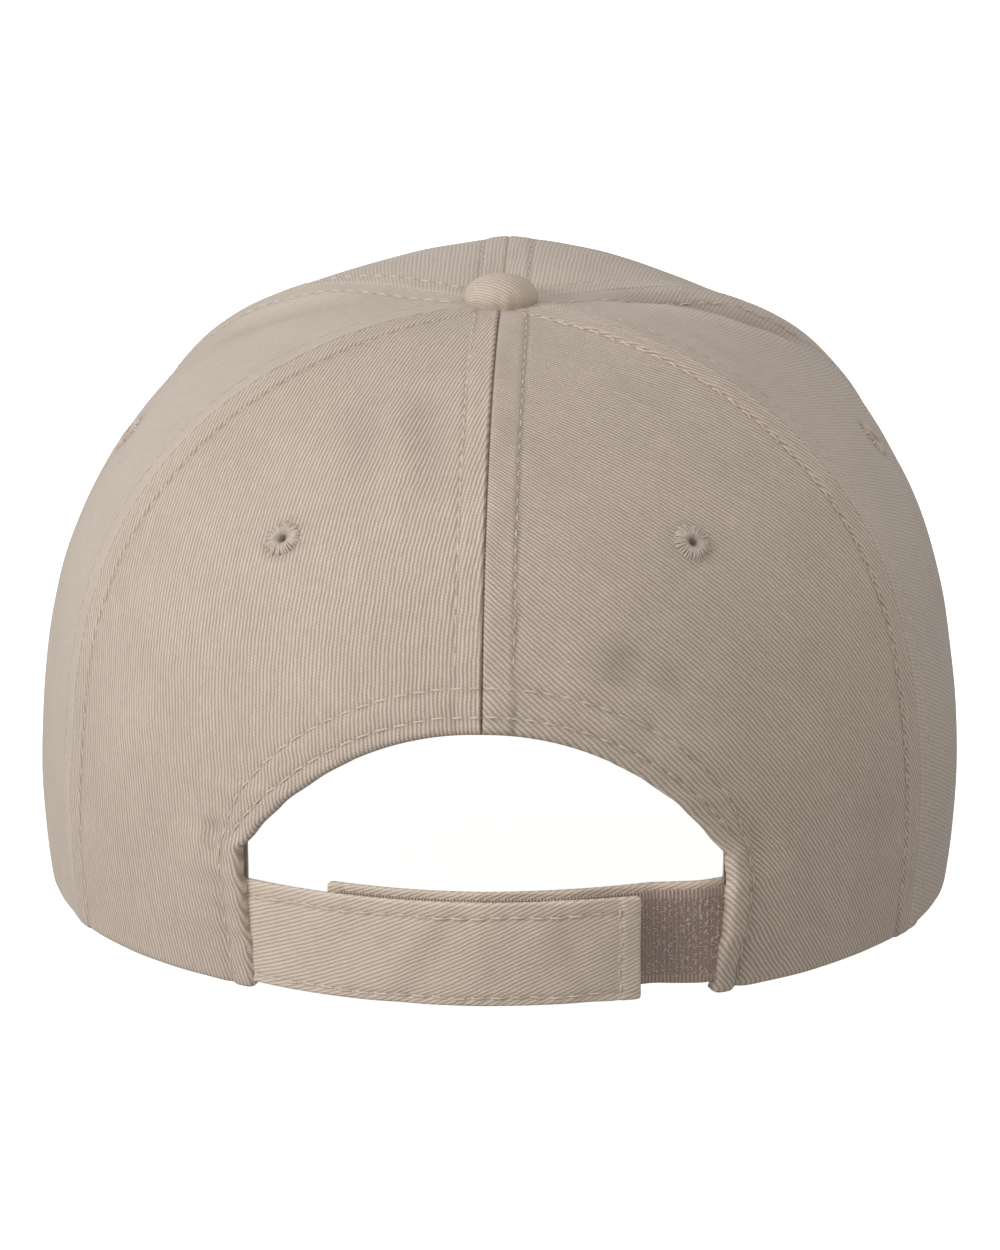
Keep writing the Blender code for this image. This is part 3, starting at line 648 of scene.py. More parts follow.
def twill(name, crest, groove, pitch=0.78, depth=0.00014, sheen=0.12, contrast=1.0):
    """Brushed cotton twill: diagonal wales of short floats, with slubs, fuzz and faded high spots."""
    n = Nodes(name)
    coords, _ = n.attribute("cloth")
    _, tone = n.attribute("tone")
    across, length, _ = n.split(coords)
    drift = n.times(n.wander(coords, 0.16), 0.7)
    wobble = n.times(n.wander(n.scaled(coords, (1.0, 0.6, 1.0)), 1.7), 0.24)
    a = n.plus(across, n.plus(drift, wobble))
    wale = n.math("POWER", n.wave(a, pitch), 0.8)
    floats = n.wave(n.fit(length, 1 / FLOAT_LENGTH, n.times(a, 0.5 / pitch)), 1.0)
    height = n.times(wale, n.fit(floats, 0.30, 0.70))
    height = n.fit(n.noise(coords, 5.5, 3.0, 0.65), 0.50, height)                      # fuzz
    height = n.fit(n.noise(n.scaled(coords, (1.0, 0.12, 1.0)), 1.3), 0.35, height)     # slubs
    shade = n.fit(height, 0.88 * contrast, 0.50 - 0.80 * contrast, clamp=True)
    cloudy = n.fit(n.noise(coords, 0.055, 3.0, 0.55), 0.16, 0.92)
    cloudy = n.times(cloudy, n.fit(n.noise(coords, 0.5), 0.12, 0.94))
    node = n.tree.nodes.new("ShaderNodeVectorMath")
    node.operation = "SCALE"
    n.put(node.inputs[0], n.mix(shade, groove, crest))
    # the tone attribute scales the colour, carrying faded edges and painted light and shade
    n.put(node.inputs["Scale"], n.times(cloudy, tone))
    return n.finish(node.outputs[0], height, depth, n.fit(wale, -0.08, 0.93), sheen)


def thread(name, pale, dark, sheen=0.15):
    """Spun cotton thread with a soft lustre."""
    n = Nodes(name)
    coords = n.object_coords()
    mottle = n.noise(coords, 2200.0, 3.0, 0.6)
    shade = n.fit(mottle, 0.7, n.times(n.noise(coords, 900.0, 1.0), 0.35), clamp=True)
    _, tone = n.attribute("tone")
    return n.finish(n.mix(n.times(shade, tone), dark, pale), mottle, 0.00006, 0.75, sheen)


def plain_weave(name, pale, dark, pitch=0.45, depth=0.00006, rough=0.85):
    """Plain-woven cotton tape or lining."""
    n = Nodes(name)
    coords, _ = n.attribute("cloth")
    _, tone = n.attribute("tone")
    x, y, _ = n.split(coords)
    wobble = n.times(n.wander(coords, 0.8), 0.25)
    u, v = (n.math("SINE", n.times(n.plus(part, wobble), 2 * math.pi / pitch)) for part in (x, y))
    height = n.fit(n.noise(coords, 6.0, 3.0, 0.6), 0.4, n.fit(n.times(u, v), 0.35, 0.5))
    shade = n.fit(n.noise(coords, 0.09, 3.0), 0.5, n.times(height, 0.6))
    shade = n.math("MULTIPLY", shade, tone, clamp=True)
    return n.finish(n.mix(shade, dark, pale), height, depth, rough, 0.1)


def grainy(name, pale, dark, scale, roughness, metallic=0.0, depth=0.00002, stretch=(1.0, 1.0, 1.0)):
    """Moulded plastic, foam or brushed steel, by its grain."""
    n = Nodes(name)
    coords = n.scaled(n.object_coords(), stretch)
    grain = n.noise(coords, scale, 4.0, 0.6)
    shade = n.fit(grain, 0.6, n.times(n.noise(coords, scale * 0.05), 0.4))
    rough = n.fit(grain, 0.2, roughness - 0.1)
    return n.finish(n.mix(shade, dark, pale), grain, depth, rough, metallic=metallic, specular=0.4)


def buckram_mesh(name):
    """Stiffened open-weave cotton, glazed with size."""
    n = Nodes(name)
    coords, _ = n.attribute("cloth")
    x, y, _ = n.split(coords)
    wobble = n.times(n.wander(coords, 0.7), 0.4)
    u, v = (n.math("ABSOLUTE", n.math("SINE", n.times(part, math.pi / YARN_PITCH)))
            for part in (n.plus(x, wobble), n.math("SUBTRACT", y, wobble)))
    yarn = n.math("SUBTRACT", 1.0, n.math("POWER", n.times(u, v), 0.6))
    height = n.fit(n.noise(coords, 4.0), 0.3, yarn)
    shade = n.fit(height, 0.8, n.times(n.noise(coords, 0.08), 0.2), clamp=True)
    return n.finish(n.mix(shade, (0.36, 0.32, 0.26), (0.80, 0.77, 0.70)), height, 0.00018, 0.6, specular=0.4)


def fastener_tape(name, pale, dark):
    """Dark woven fastener tape: fine ribs, and a closer ribbed selvage where the third coordinate is 1."""
    n = Nodes(name)
    coords, _ = n.attribute("cloth")
    x, y, selvage = n.split(coords)
    ribs = n.wave(x, RIB_PITCH)
    weave = n.times(ribs, n.fit(n.wave(y, PICK_PITCH), 0.5, 0.5))
    height = n.fit(selvage, ribs, n.times(weave, 0.6))
    height = n.fit(n.noise(coords, 3.5, 3.0, 0.6), 0.7, height)
    shade = n.fit(height, 0.55, n.fit(selvage, 0.10, -0.18), clamp=True)
    return n.finish(n.mix(shade, dark, pale), height, 0.00016, 0.85, 0.05)


KHAKI = twill("khaki_twill", (0.66, 0.55, 0.455), (0.36, 0.288, 0.232), contrast=1.12)
FRONT_KHAKI = twill("khaki_twill_front", (0.61, 0.517, 0.44), (0.41, 0.337, 0.281), depth=0.00006,
                    contrast=0.7)
STRAP_CLOTH = twill("strap_twill", (0.75, 0.63, 0.52), (0.455, 0.368, 0.293), pitch=0.71, depth=0.0001,
                    contrast=0.78)
UNDER = twill("visor_under_twill", (0.58, 0.48, 0.39), (0.34, 0.27, 0.21))
BUTTON_CLOTH = twill("button_twill", (0.69, 0.575, 0.475), (0.40, 0.322, 0.258), pitch=0.82, depth=0.00011,
                     contrast=0.85)
SEWING = thread("sewing_thread", (0.78, 0.665, 0.55), (0.38, 0.30, 0.24))
SATIN = thread("eyelet_thread", (0.70, 0.595, 0.51), (0.255, 0.20, 0.165), 0.3)
TAPE_CLOTH = plain_weave("seam_tape_cotton", (0.60, 0.51, 0.42), (0.36, 0.29, 0.23))
BAND_CLOTH = plain_weave("sweatband_cotton", (0.64, 0.55, 0.46), (0.40, 0.33, 0.27), pitch=0.6)
STIFF_CLOTH = buckram_mesh("buckram")
LOOP_TAPE = fastener_tape("loop_tape", (0.57, 0.44, 0.375), (0.275, 0.20, 0.168))
HOOK_TAPE = fastener_tape("hook_tape", (0.30, 0.24, 0.20), (0.11, 0.085, 0.07))
LOOP_YARN = thread("loop_yarn", (0.80, 0.72, 0.66), (0.40, 0.32, 0.28), 0.4)
FOAM = grainy("sweatband_foam", (0.82, 0.80, 0.74), (0.60, 0.57, 0.50), 1500.0, 0.9, depth=0.0001)
BOARD = grainy("visor_board_plastic", (0.88, 0.88, 0.86), (0.76, 0.76, 0.73), 400.0, 0.5)
STEEL = grainy("button_steel", (0.66, 0.66, 0.64), (0.42, 0.42, 0.41), 700.0, 0.38, metallic=1.0,
               stretch=(1.0, 1.0, 9.0))


# ---------------------------------------------------------------- crown panels

SEAM_LADDER = [0, 0.18, 0.36, 0.56, 0.8, 1.15, 1.7, 2.5, 3.4, 4.1, 4.5, 4.9, 5.3, 5.8, 6.6, 7.7]
ARCH_LADDER = [0, 0.1, 0.22, 0.38, 0.6, 0.9, 1.3, 1.9, 2.5, 2.9, 3.3, 3.9, 4.6, 5.3, 6.1, 7.0, 7.6, 8.1, 8.6,
               9.3, 10.3]
RIM_FOLD = np.radians([18, 36, 54, 72, 90, 112, 135])
PANEL_THICK, FOLD_RADIUS = 0.9, 1.05
RIM_SHARE = 0.993                   # where the panels start to roll under, so the roll ends at the rim
# direction of the wales in each panel, from the way the angle grows towards the button
WALES = {"front_panel_right": 64, "side_panel_right": 20, "back_panel_right": 49,
         "back_panel_left": 79, "side_panel_left": 55, "front_panel_left": 118}


def ladder(total, near_start, near_end, step):
    """Places from 0 to total, close together as near_start and near_end say, step apart between."""
    last = near_start[-1]
    count = max(int(math.ceil((total - last - near_end[-1]) / step)), 1)
    middle = np.linspace(last, total - near_end[-1], count + 1)[1:-1]
    return np.concatenate([near_start, middle, total - np.array(near_end[::-1])]) / total


def cloth_coords(theta, share, middle, degrees, stretch):
    """Coordinates on a panel's cloth, across and along its wales, in millimetres."""
    u = sample(RADII, theta, share) * (theta - middle)
    v = (1 - share) * cloth_length(theta)
    coords = turned(u, v, degrees)
    # the grain bends where the cloth was stretched low down
    coords[:, 0] += stretch * u ** 2 * np.clip(1 - v / 90, 0, 1)
    return coords


def wear_and_painted_shading(theta, share, points):
    """Faded high edges, painted shade in grooves and creases, painted light and shade on wrinkles: a colour
    factor.
    """
    x, y, z = points.T
    tone = np.ones(len(points))
    r = sample(RADII, theta, share)
    clear = smooth((r - 3) / 6)
    # painted shade darkens each seam's crease and stitch-row grooves; the raised allowance edges are faded
    # lighter
    for degrees, (low, high, *_, crease) in SEAMS.items():
        d = seam_distance(theta, share, math.radians(degrees))
        e, row = np.abs(d), np.where(d < 0, low, high)
        tone += clear * (0.05 * bump(e, 0.9, 0.5) + 0.04 * bump(e, row - 1.0, 0.5)
                         - 0.6 * crease * bump(e, 0, 0.22) - 0.27 * bump(e, row, 0.38))
    d, beyond = arch_distance(x, z), outer_row_distance(x, z)
    low = on_hems(z)
    # lighter along the arch's turned edge and the hems' rolls; painted shade in the stitch grooves beside
    # them
    edge = 0.07 * bump(d, 0.5, 0.6) - 0.22 * bump(beyond, 0, 0.38) - 0.20 * bump(d, 3, 0.38) * (1 - low)
    edge += 0.04 * bump(d, 2.2, 1.4) * low - 0.18 * low * bump(beyond, 0.3, 0.8) * (x > 0)
    tone += np.where((y < 0) & (z < ARCH_REGION), edge, 0)
    # painted light on raised wrinkles and painted shade in sunken ones
    for path, height, width in WRINKLES:
        tone += 0.17 * height * wrinkle(points, np.array(path, float), width * 1.15)
    return tone


def make_panel(name, theta, share, middle, finish, hole):
    """A panel from a grid of angles and shares, its rim rolled under, with a hole for its eyelet."""
    columns, rows = theta.shape
    foot_x, foot_y, foot_z = skin(theta[:, -1], share[:, -1]).T
    corner = np.where(foot_y < 0, np.clip(arch_distance(foot_x, foot_z) / 1.6, 0.02, 1), 1)
    corner = np.sqrt(1 - (1 - corner) ** 2)                 # the hems' lower corners are rounded
    extra = len(RIM_FOLD)
    theta = np.concatenate([theta, np.repeat(theta[:, -1:], extra, 1)], 1)
    share = np.concatenate([share, np.repeat(share[:, -1:], extra, 1)], 1)
    d, p = (np.concatenate([np.zeros((columns, rows)), np.outer(corner, FOLD_RADIUS * roll)], 1).ravel()
            for roll in (1 - np.cos(RIM_FOLD), np.sin(RIM_FOLD)))            # depth in and drop past the rim
    t, s = theta.ravel(), share.ravel()
    outer, _ = cloth_face(t, s, d, p)
    inner, _ = cloth_face(t, s, PANEL_THICK + np.clip(d - 0.5, 0, 2), np.minimum(p, 0.35))
    quads = grid_quads(columns, rows + extra)
    quads = quads[np.linalg.norm(outer[quads].mean(1) - hole, axis=1) > 1.7]
    coords = cloth_coords(t, s, middle, WALES[name], 0.004 if name == "back_panel_right" else 0.0)
    coords[:, 1] -= p
    # painted shade: a darker ring in the cloth round each eyelet
    tone = wear_and_painted_shading(t, s, skin(t, s)) - 0.18 * bump(np.linalg.norm(outer - hole, axis=1), 4.0, 0.55)
    add_sheet(name, outer, inner, quads, finish, "khaki_twill", cloth=coords, tone=tone)


def eyelet_place(kind, side):
    """Centre and normal of an eyelet on the sewn face."""
    theta, share = EYELETS[kind]
    points, normals = cloth_face(np.array([theta * side]), np.array([share]))
    return points[0], normals[0]


def straight_panel(index):
    """Grid of angles and shares for a panel that runs from the button to the rim."""
    u = ladder(80 * PANEL_ANGLE, SEAM_LADDER, SEAM_LADDER, 1.5)
    rows = np.concatenate([np.linspace(0.028, 0.985, 110), [0.990, 0.995, 1.0]]) * RIM_SHARE
    return np.meshgrid(PANEL_ANGLE * (index + u), rows, indexing="ij")


def arch_side(fraction):
    """Angle and share at a fraction of the way along the arch's outline, from its top to the right foot."""
    arc = np.linspace(0, ARCH_SWEEP, 120)
    hem = np.linspace(HEM_TOP, 0.6, 60)[1:]
    x = np.concatenate([ARCH_RADIUS * np.sin(arc), np.full(len(hem), HEM)])
    z = np.concatenate([ARCH_CENTRE + ARCH_RADIUS * np.cos(arc), hem])
    length = np.concatenate([[0], np.cumsum(np.hypot(np.diff(x), np.diff(z)))])
    here = fraction * length[-1]
    return at_back(np.interp(here, length, x), np.interp(here, length, z))


def disc(theta, share):
    """Places on the crown laid out flat, the button in the middle."""
    return np.stack([share * np.sin(theta), share * np.cos(theta)], -1)


def back_panel():
    """Grid for the right back panel, between the arch, the back seam, the side seam and the rim."""
    p = ladder(110.0, SEAM_LADDER, [0, 0.5, 1.0], 1.2)
    q = ladder(80.0, ARCH_LADDER, SEAM_LADDER, 1.25)
    arch = disc(*arch_side(p))
    side = disc(np.full(len(p), 2 * PANEL_ANGLE), p * RIM_SHARE)
    top_share = at_back([0.0], [ARCH_TOP])[1][0]
    back = disc(np.full(len(q), math.pi), top_share * (1 - q))
    foot = arch_side(np.array([1.0]))[0][0]
    rim = disc(foot + (2 * PANEL_ANGLE - foot) * q, np.full(len(q), RIM_SHARE))
    P, Q = p[None, :, None], q[:, None, None]
    flat = ((1 - Q) * arch[None] + Q * side[None] + (1 - P) * back[:, None] + P * rim[:, None]
            - (1 - Q) * (1 - P) * arch[0] - (1 - Q) * P * arch[-1] - Q * (1 - P) * side[0] - Q * P * side[-1])
    theta = np.mod(np.arctan2(flat[..., 0], flat[..., 1]), 2 * math.pi)
    share = np.hypot(flat[..., 0], flat[..., 1])
    return theta, np.clip(share, 0.0, 1.0)


def make_crown():
    """Six panels with their seams, arch, hems and rolled rim."""
    for side, hand in SIDES:
        for index, kind in enumerate(EYELETS):
            theta, share = back_panel() if kind == "back" else straight_panel(index)
            middle = (index + 0.5) * PANEL_ANGLE
            if side < 0:
                theta, middle = 2 * math.pi - theta, 2 * math.pi - middle
            make_panel(f"{kind}_panel_{hand}", theta, share, middle, KHAKI if kind == "back" else FRONT_KHAKI,
                       eyelet_place(kind, side)[0])


def make_crown_stitching():
    """Topstitches beside the seams and round the arch."""
    steps = 900
    seam_parts, number = [], 0
    for degrees, (low, high, *_) in SEAMS.items():
        seam = math.radians(degrees)
        # the back seam's rows stop above the arch's
        end = at_back([0.0], [ARCH_TOP + 8.5])[1][0] if degrees == 180 else 0.985
        for sign, distance in ((-1, low), (1, high)):
            share = np.linspace(0.052, end, steps)
            r = np.maximum(sample(RADII, np.full(steps, seam), share), 4)
            theta = seam + sign * np.minimum(distance / r, PANEL_ANGLE * 0.46)
            path, normals = cloth_face(theta, share)
            faint = degrees in (0, 240) or (degrees, sign) == (180, -1)
            seam_parts.append(stitches(path, normals, seed=number, lift=0.02 if faint else 0.12,
                                       radius=0.17 if faint else 0.21, sink=0.42))
            number += 1
    add_threads("seam_topstitching", seam_parts, SEWING)
    angle = np.linspace(-ARCH_SWEEP * 0.97, ARCH_SWEEP * 0.97, steps)
    radius = ARCH_RADIUS + 3.0
    arch_parts = []
    for x, z in ((radius * np.sin(angle), ARCH_CENTRE + radius * np.cos(angle)), outer_row()):
        path, normals = cloth_face(*at_back(x, z))
        arch_parts.append(stitches(path, normals, seed=40 + len(arch_parts), length=2.9, lift=0.12,
                                   radius=0.20))
    add_threads("arch_topstitching", arch_parts, SEWING)


# ---------------------------------------------------------------- eyelets and button

EYELET_STITCHES = 44


def make_eyelets():
    """Embroidered eyelets: satin stitches over a ring, outside and inside, round a real hole, with painted
    shade towards it.
    """
    for side, hand in SIDES:
        for kind in EYELETS:
            centre, normal = eyelet_place(kind, side)
            depth = 2.1 if kind == "front" else 1.1
            parts = []
            u = np.cross([0.0, 0.0, 1.0], normal)
            u /= np.linalg.norm(u)
            v = np.cross(normal, u)
            rng = np.random.default_rng(len(kind) * 10 + side)
            for k in range(EYELET_STITCHES):
                a = 2 * math.pi * k / EYELET_STITCHES + rng.normal(0, 0.03)
                ray = u * math.cos(a) + v * math.sin(a)
                tip = 3.55 + rng.uniform(-0.35, 0.25)
                radii = np.array([0.95, 0.85, 0.95, 1.3, 1.9, 2.5, 3.0, tip, tip + 0.1])
                heights = np.array([-0.9, -0.4, 0.05, 0.34, 0.42, 0.36, 0.22, 0.02, -0.3])
                twist = rng.normal(0, 0.04) * (radii - 0.9)
                cross = np.cross(normal, ray)
                line = centre + np.outer(radii, ray) + np.outer(heights, normal) + np.outer(twist, cross)
                parts.append(tube(line, cross, 0.17 + 0.035 * radii / 3))
                if k % 2 == 0:
                    heights = -depth - np.array([-0.5, 0.0, 0.3, 0.5, 0.5, 0.4, 0.25, 0.05, -0.2])
                    line = centre + np.outer(radii * 0.92, ray) + np.outer(heights, normal)
                    parts.append(tube(line, cross, 0.24 + 0.05 * radii / 3, 5))
            profile = [(1.0, -0.9), (1.0, -0.1), (1.5, 0.2), (2.3, 0.2), (2.9, 0.05), (3.2, -0.15),
                       (2.6, -0.25), (1.9, -0.3), (1.9, -depth + 0.2), (2.9, -depth - 0.05),
                       (2.3, -depth - 0.3), (1.3, -depth - 0.3), (1.0, -depth)]
            m, turns = len(profile), 24
            angle = np.arange(turns) * 2 * math.pi / turns
            rays = [u * math.cos(a) + v * math.sin(a) for a in angle]
            ring = np.array([centre + ray * r + normal * h for ray in rays for r, h in profile])
            parts.append((ring, [(i * m + j, i * m + (j + 1) % m, (i + 1) % turns * m + (j + 1) % m,
                                  (i + 1) % turns * m + j) for i in range(turns) for j in range(m)]))
            points, faces = joined(parts)
            offset = points - centre
            radius = np.linalg.norm(offset - np.outer(offset @ normal, normal), axis=1)
            # painted shade: the stitches darken towards the hole
            tone = 0.55 + 0.55 * smooth((radius - 0.8) / 1.2)
            name = f"eyelet_{kind}_{hand}"
            add_piece(name, points, faces, SATIN, slot="eyelet_thread", replaces=[name], tone=tone)


def make_button():
    """The cloth-covered button: a soft dome, its cloth gathered round the edge."""
    base = CROWN_HEIGHT + 0.8
    around, rings = 96, 26
    angle = np.arange(around) * 2 * math.pi / around
    arc = np.linspace(0, math.radians(118), rings)
    rows = []
    for k, a in enumerate(arc):
        over = a < math.pi / 2
        gather = 0.10 * np.sin(angle * 11 + 1.3 * k / rings) + 0.07 * np.sin(angle * 17 + 2.0)
        gather = smooth((a - 0.75) / 0.6) * (gather + 0.06 * np.sin(angle * 5 + 0.7))
        r = BUTTON_RADIUS * (math.sin(a) ** 0.86 if over else 1 - 0.10 * (a - math.pi / 2)) + gather * 0.7
        dimple = 0.10 * np.sin(angle * 2 + 0.6) * math.sin(a) ** 2
        z = base + 0.2 + BUTTON_HEIGHT * math.cos(a) * (1 if over else 0.75) + dimple
        rows.append(np.stack([r * np.sin(angle), r * np.cos(angle), z], 1))
    outer = np.stack(rows, 1).reshape(-1, 3)             # columns are angles
    centre = np.array([0, 0, base - 0.2])
    inner = centre + (outer - centre) * 0.90
    first = np.arange(rings - 1)
    last = (around - 1) * rings + first
    quads = np.concatenate([grid_quads(around, rings), np.stack([last, first, first + 1, last + 1], 1)])
    whole_angle, reach = places(angle, np.linspace(0, 13.5, rings))      # reach: length down the dome
    coords = turned(reach * np.sin(whole_angle), reach * np.cos(whole_angle), -32)
    made = add_sheet("button_cover", outer, inner, quads, BUTTON_CLOTH, "strap_twill", cloth=coords)
    bm = bmesh.new()
    bm.from_mesh(made.data)
    bmesh.ops.remove_doubles(bm, verts=bm.verts, dist=1e-6)
    bm.to_mesh(made.data)
    bm.free()


# ---------------------------------------------------------------- inside: tapes, buckram, sweatband

TAPE_HALF_WIDTH, TAPE_ROW = 6.0, 4.8


def make_tapes():
    """Cotton tapes over the seam allowances inside, and round the arch, with their edge stitches."""
    tapes = {"seam_tape_front": (0, 2.2, 0.10, 0.95), "seam_tape_back": (180, 1.15, 0.10, 0.55)}
    for side, hand in SIDES:
        tapes[f"seam_tape_front_{hand}"] = (side * 60, 2.2, 0.10, 0.95)
        tapes[f"seam_tape_side_{hand}"] = (side * 120, 1.15, 0.10, 0.95)
    seams = []
    edge = np.array([0.8, 1.6, 2.6, 3.6, 4.4, 5, 5.5, 5.85, TAPE_HALF_WIDTH])
    u = np.concatenate([-edge[::-1], [0], edge])

    def beside(seam, across, share):
        radius = sample(RADII, np.full(len(share), seam), share)
        return seam + across * np.minimum(TAPE_HALF_WIDTH / radius, PANEL_ANGLE / 2 - 0.04) / TAPE_HALF_WIDTH

    for number, (name, (degrees, depth, start, end)) in enumerate(tapes.items()):
        seam = math.radians(degrees)
        share = np.linspace(start, end, int(125 * (end - start)))
        U, S = places(u, share)
        theta = beside(seam, U, S)
        plain, n = skin(theta, S), skin_normal(theta, S)
        ridge = 0.55 * (1 - smooth((np.abs(U) - 2.5) / 2.0)) + 0.05 * waves(plain, FINE_WAVES)
        half = 0.26 * rounded(TAPE_HALF_WIDTH - np.abs(U), 0.5) + 0.01
        groove = 0.10 * bump(np.abs(U), TAPE_ROW, 0.4)
        middle = depth + 0.25 + ridge
        outer = plain - n * (middle - half)[:, None]
        inner = plain - n * (middle + half - groove)[:, None]
        add_sheet(name, outer, inner, grid_quads(len(u), len(share)), TAPE_CLOTH, "seam_tape_cotton",
                  cloth=np.stack([U, S * cloth_length(theta)], 1))
        for sign in (-1, 1):
            s = np.linspace(start + 0.01, end - 0.01, 500)
            t = beside(seam, sign * TAPE_ROW, s)
            n = skin_normal(t, s)
            path = skin(t, s) - n * (depth + 0.48)
            seams.append(stitches(path, -n, seed=60 + number * 2 + sign, sides=6, radius=0.19))
    add_threads("seam_tape_stitching", seams, SEWING)

    w = np.array([0, 0.15, 0.4, 0.8, 1.5, 3, 5, 7, 8, 8.7, 9.1, 9.35, 9.5]) + 1.5
    a = np.linspace(-ARCH_SWEEP, ARCH_SWEEP, 120)
    A, W = places(a, w)
    theta, share = at_back((ARCH_RADIUS + W) * np.sin(A), ARCH_CENTRE + (ARCH_RADIUS + W) * np.cos(A))
    plain, n = skin(theta, share), skin_normal(theta, share)
    e = np.minimum(W - w[0], w[-1] - W)
    half = 0.24 * rounded(e, 0.4) + 0.01
    wavy = 0.06 * waves(plain, FINE_WAVES)
    outer, inner = plain - n * (1.6 + wavy - half)[:, None], plain - n * (1.6 + wavy + half)[:, None]
    add_sheet("arch_facing", outer, inner, grid_quads(len(a), len(w)), TAPE_CLOTH, "seam_tape_cotton",
              cloth=np.stack([A * (ARCH_RADIUS + 6), W], 1))


def make_buckram():
    """The open-weave stiffener behind the front panels."""
    columns, rows = 50, 90
    for side, hand in SIDES:
        t, s = places(side * PANEL_ANGLE * np.linspace(0.022, 0.978, columns), np.linspace(0.07, 0.955, rows))
        plain, n = skin(t, s), skin_normal(t, s)
        wavy = 0.05 * waves(plain, FINE_WAVES)
        outer, inner = plain - n * (1.3 + wavy)[:, None], plain - n * (1.8 + wavy)[:, None]
        quads = grid_quads(columns, rows)
        theta, share = EYELETS["front"]
        hole = skin(np.array([theta * side]), np.array([share]))[0]
        quads = quads[np.linalg.norm(plain[quads].mean(1) - hole, axis=1) > 1.9]
        coords = np.stack([sample(RADII, t, s) * (np.abs(t) - PANEL_ANGLE / 2), s * cloth_length(t)], 1)
        add_sheet(f"buckram_{hand}", outer, inner, quads, STIFF_CLOTH, "buckram", cloth=coords)


def make_sweatband():
    """The folded cotton sweatband with its edge stitching, padded by a thin stiffener."""
    end = math.pi - math.asin((HEM + 5.0) / BACK_REACH)
    around = 300
    rows = np.concatenate([np.linspace(0, 0.42, 22), np.linspace(0.44, 0.56, 7), np.linspace(0.58, 1, 22)])
    t, v = places(np.linspace(-end, end, around), rows)
    low, high, fold = 1.2, 32.0, 0.9
    front, back = 3.1, 5.1
    top_row, low_row, groove = 29.0, 3.6, 0.16
    mean_radius = 95.0

    def padding(plain, up):
        full = 0.30 * np.sin(math.pi * np.clip((up - low) / (high - low), 0, 1)) ** 0.6
        return full + 0.16 * waves(plain, FINE_WAVES) + 0.10 * waves(plain, BROAD_WAVES)

    turn = np.clip((v - 0.42) / 0.16, 0, 1) * math.pi
    middle, half = (front + back) / 2, (back - front) / 2
    climb = np.clip(np.minimum(v, 1 - v) / 0.42, 0, 1)
    up = low + (high - low) * climb + fold * np.sin(turn)
    share = 1 - up / cloth_length(t)
    plain, n = skin(t, share), skin_normal(t, share)
    inside = v > 0.5
    swell = padding(plain, up) - groove * (bump(up, top_row, 0.6) + bump(up, low_row, 0.6))
    swell += 0.10 * np.sin(t * mean_radius / STITCH_PITCH * 2 * math.pi) * bump(up, top_row, 1.2)
    depth = middle - half * np.cos(turn) + np.where(inside, swell, 0)
    outer = plain - n * depth[:, None]
    inner = plain - n * (depth + np.where(inside, -0.35, 0.35) * np.abs(np.cos(turn)))[:, None]
    inner[:, 2] -= 0.35 * np.sin(turn)
    band = add_sheet("sweatband_cover", outer, inner, grid_quads(around, len(rows)), BAND_CLOTH,
                     "sweatband_cotton", cloth=np.stack([t * mean_radius, up], 1))
    rows = []
    for height, seed in ((top_row, 90), (low_row, 91)):
        t = np.linspace(-end + 0.02, end - 0.02, 1500)
        share = 1 - height / cloth_length(t)
        plain, n = skin(t, share), skin_normal(t, share)
        path = plain - n * (back + padding(plain, height) - groove)[:, None]
        rows.append(stitches(path, -n, seed=seed, sides=6, radius=0.2))
    add_threads("sweatband_stitching", rows, SEWING)


# ---------------------------------------------------------------- visor

VISOR_DEPTH = 70.0
BOARD_HALF_THICK, COVER_THICK = 1.1, 0.7
STITCH_ROWS = [0.955, 0.865, 0.775, 0.685, 0.595, 0.505]      # shares of the way out from crown to edge


def visor_points(u, v, height, out, near_gap):
    """Points of the visor: u round it, v from crown to edge, height above the board's middle."""
    theta = (2 * u - 1) * VISOR_ANGLE
    rim_z = RIM_RISE * np.maximum(np.cos(theta), 0) ** 3 - SIDE_DIP * np.sin(theta) ** 2
    rim = skin(theta, np.ones(len(theta)))
    away = rim[:, :2] / np.linalg.norm(rim[:, :2], axis=1)[:, None]
    near = rim[:, :2] + away * near_gap
    psi = (2 * u - 1) * VISOR_SWEEP
    outward = np.stack([np.sin(psi), np.cos(psi)], 1)
    edge = np.stack([(VISOR_HALF_WIDTH - COVER_OUTSIDE) * np.sin(psi),
                     VISOR_CENTRE + (VISOR_REACH - COVER_OUTSIDE) * np.cos(psi)], 1)
    plan = near + (edge - near) * v[:, None] + outward * np.reshape(out, (-1, 1))
    x, y = plan.T

    def arch(px, py):
        return RIM_RISE + VISOR_SEAT - VISOR_SLOPE * (py - FRONT_REACH) - px ** 2 / (2 * VISOR_RADIUS)

    z = arch(x, y) + (rim_z + VISOR_SEAT - arch(*near.T)) * (1 - v) ** 2
    n = np.stack([x / VISOR_RADIUS, np.full(len(x), VISOR_SLOPE), np.ones(len(x))], 1)
    n /= np.linalg.norm(n, axis=1)[:, None]
    return np.stack([x, y, z], 1) + n * np.reshape(height, (-1, 1)), n


def visor_end(u, v, gap):
    """Unit directions out past the two ends of the visor."""
    here, _ = visor_points(np.round(u), v, 0.0, 0.0, gap)
    inside, _ = visor_points(np.abs(np.round(u) - 0.002), v, 0.0, 0.0, gap)
    away = here - inside
    return away / np.linalg.norm(away, axis=1)[:, None]


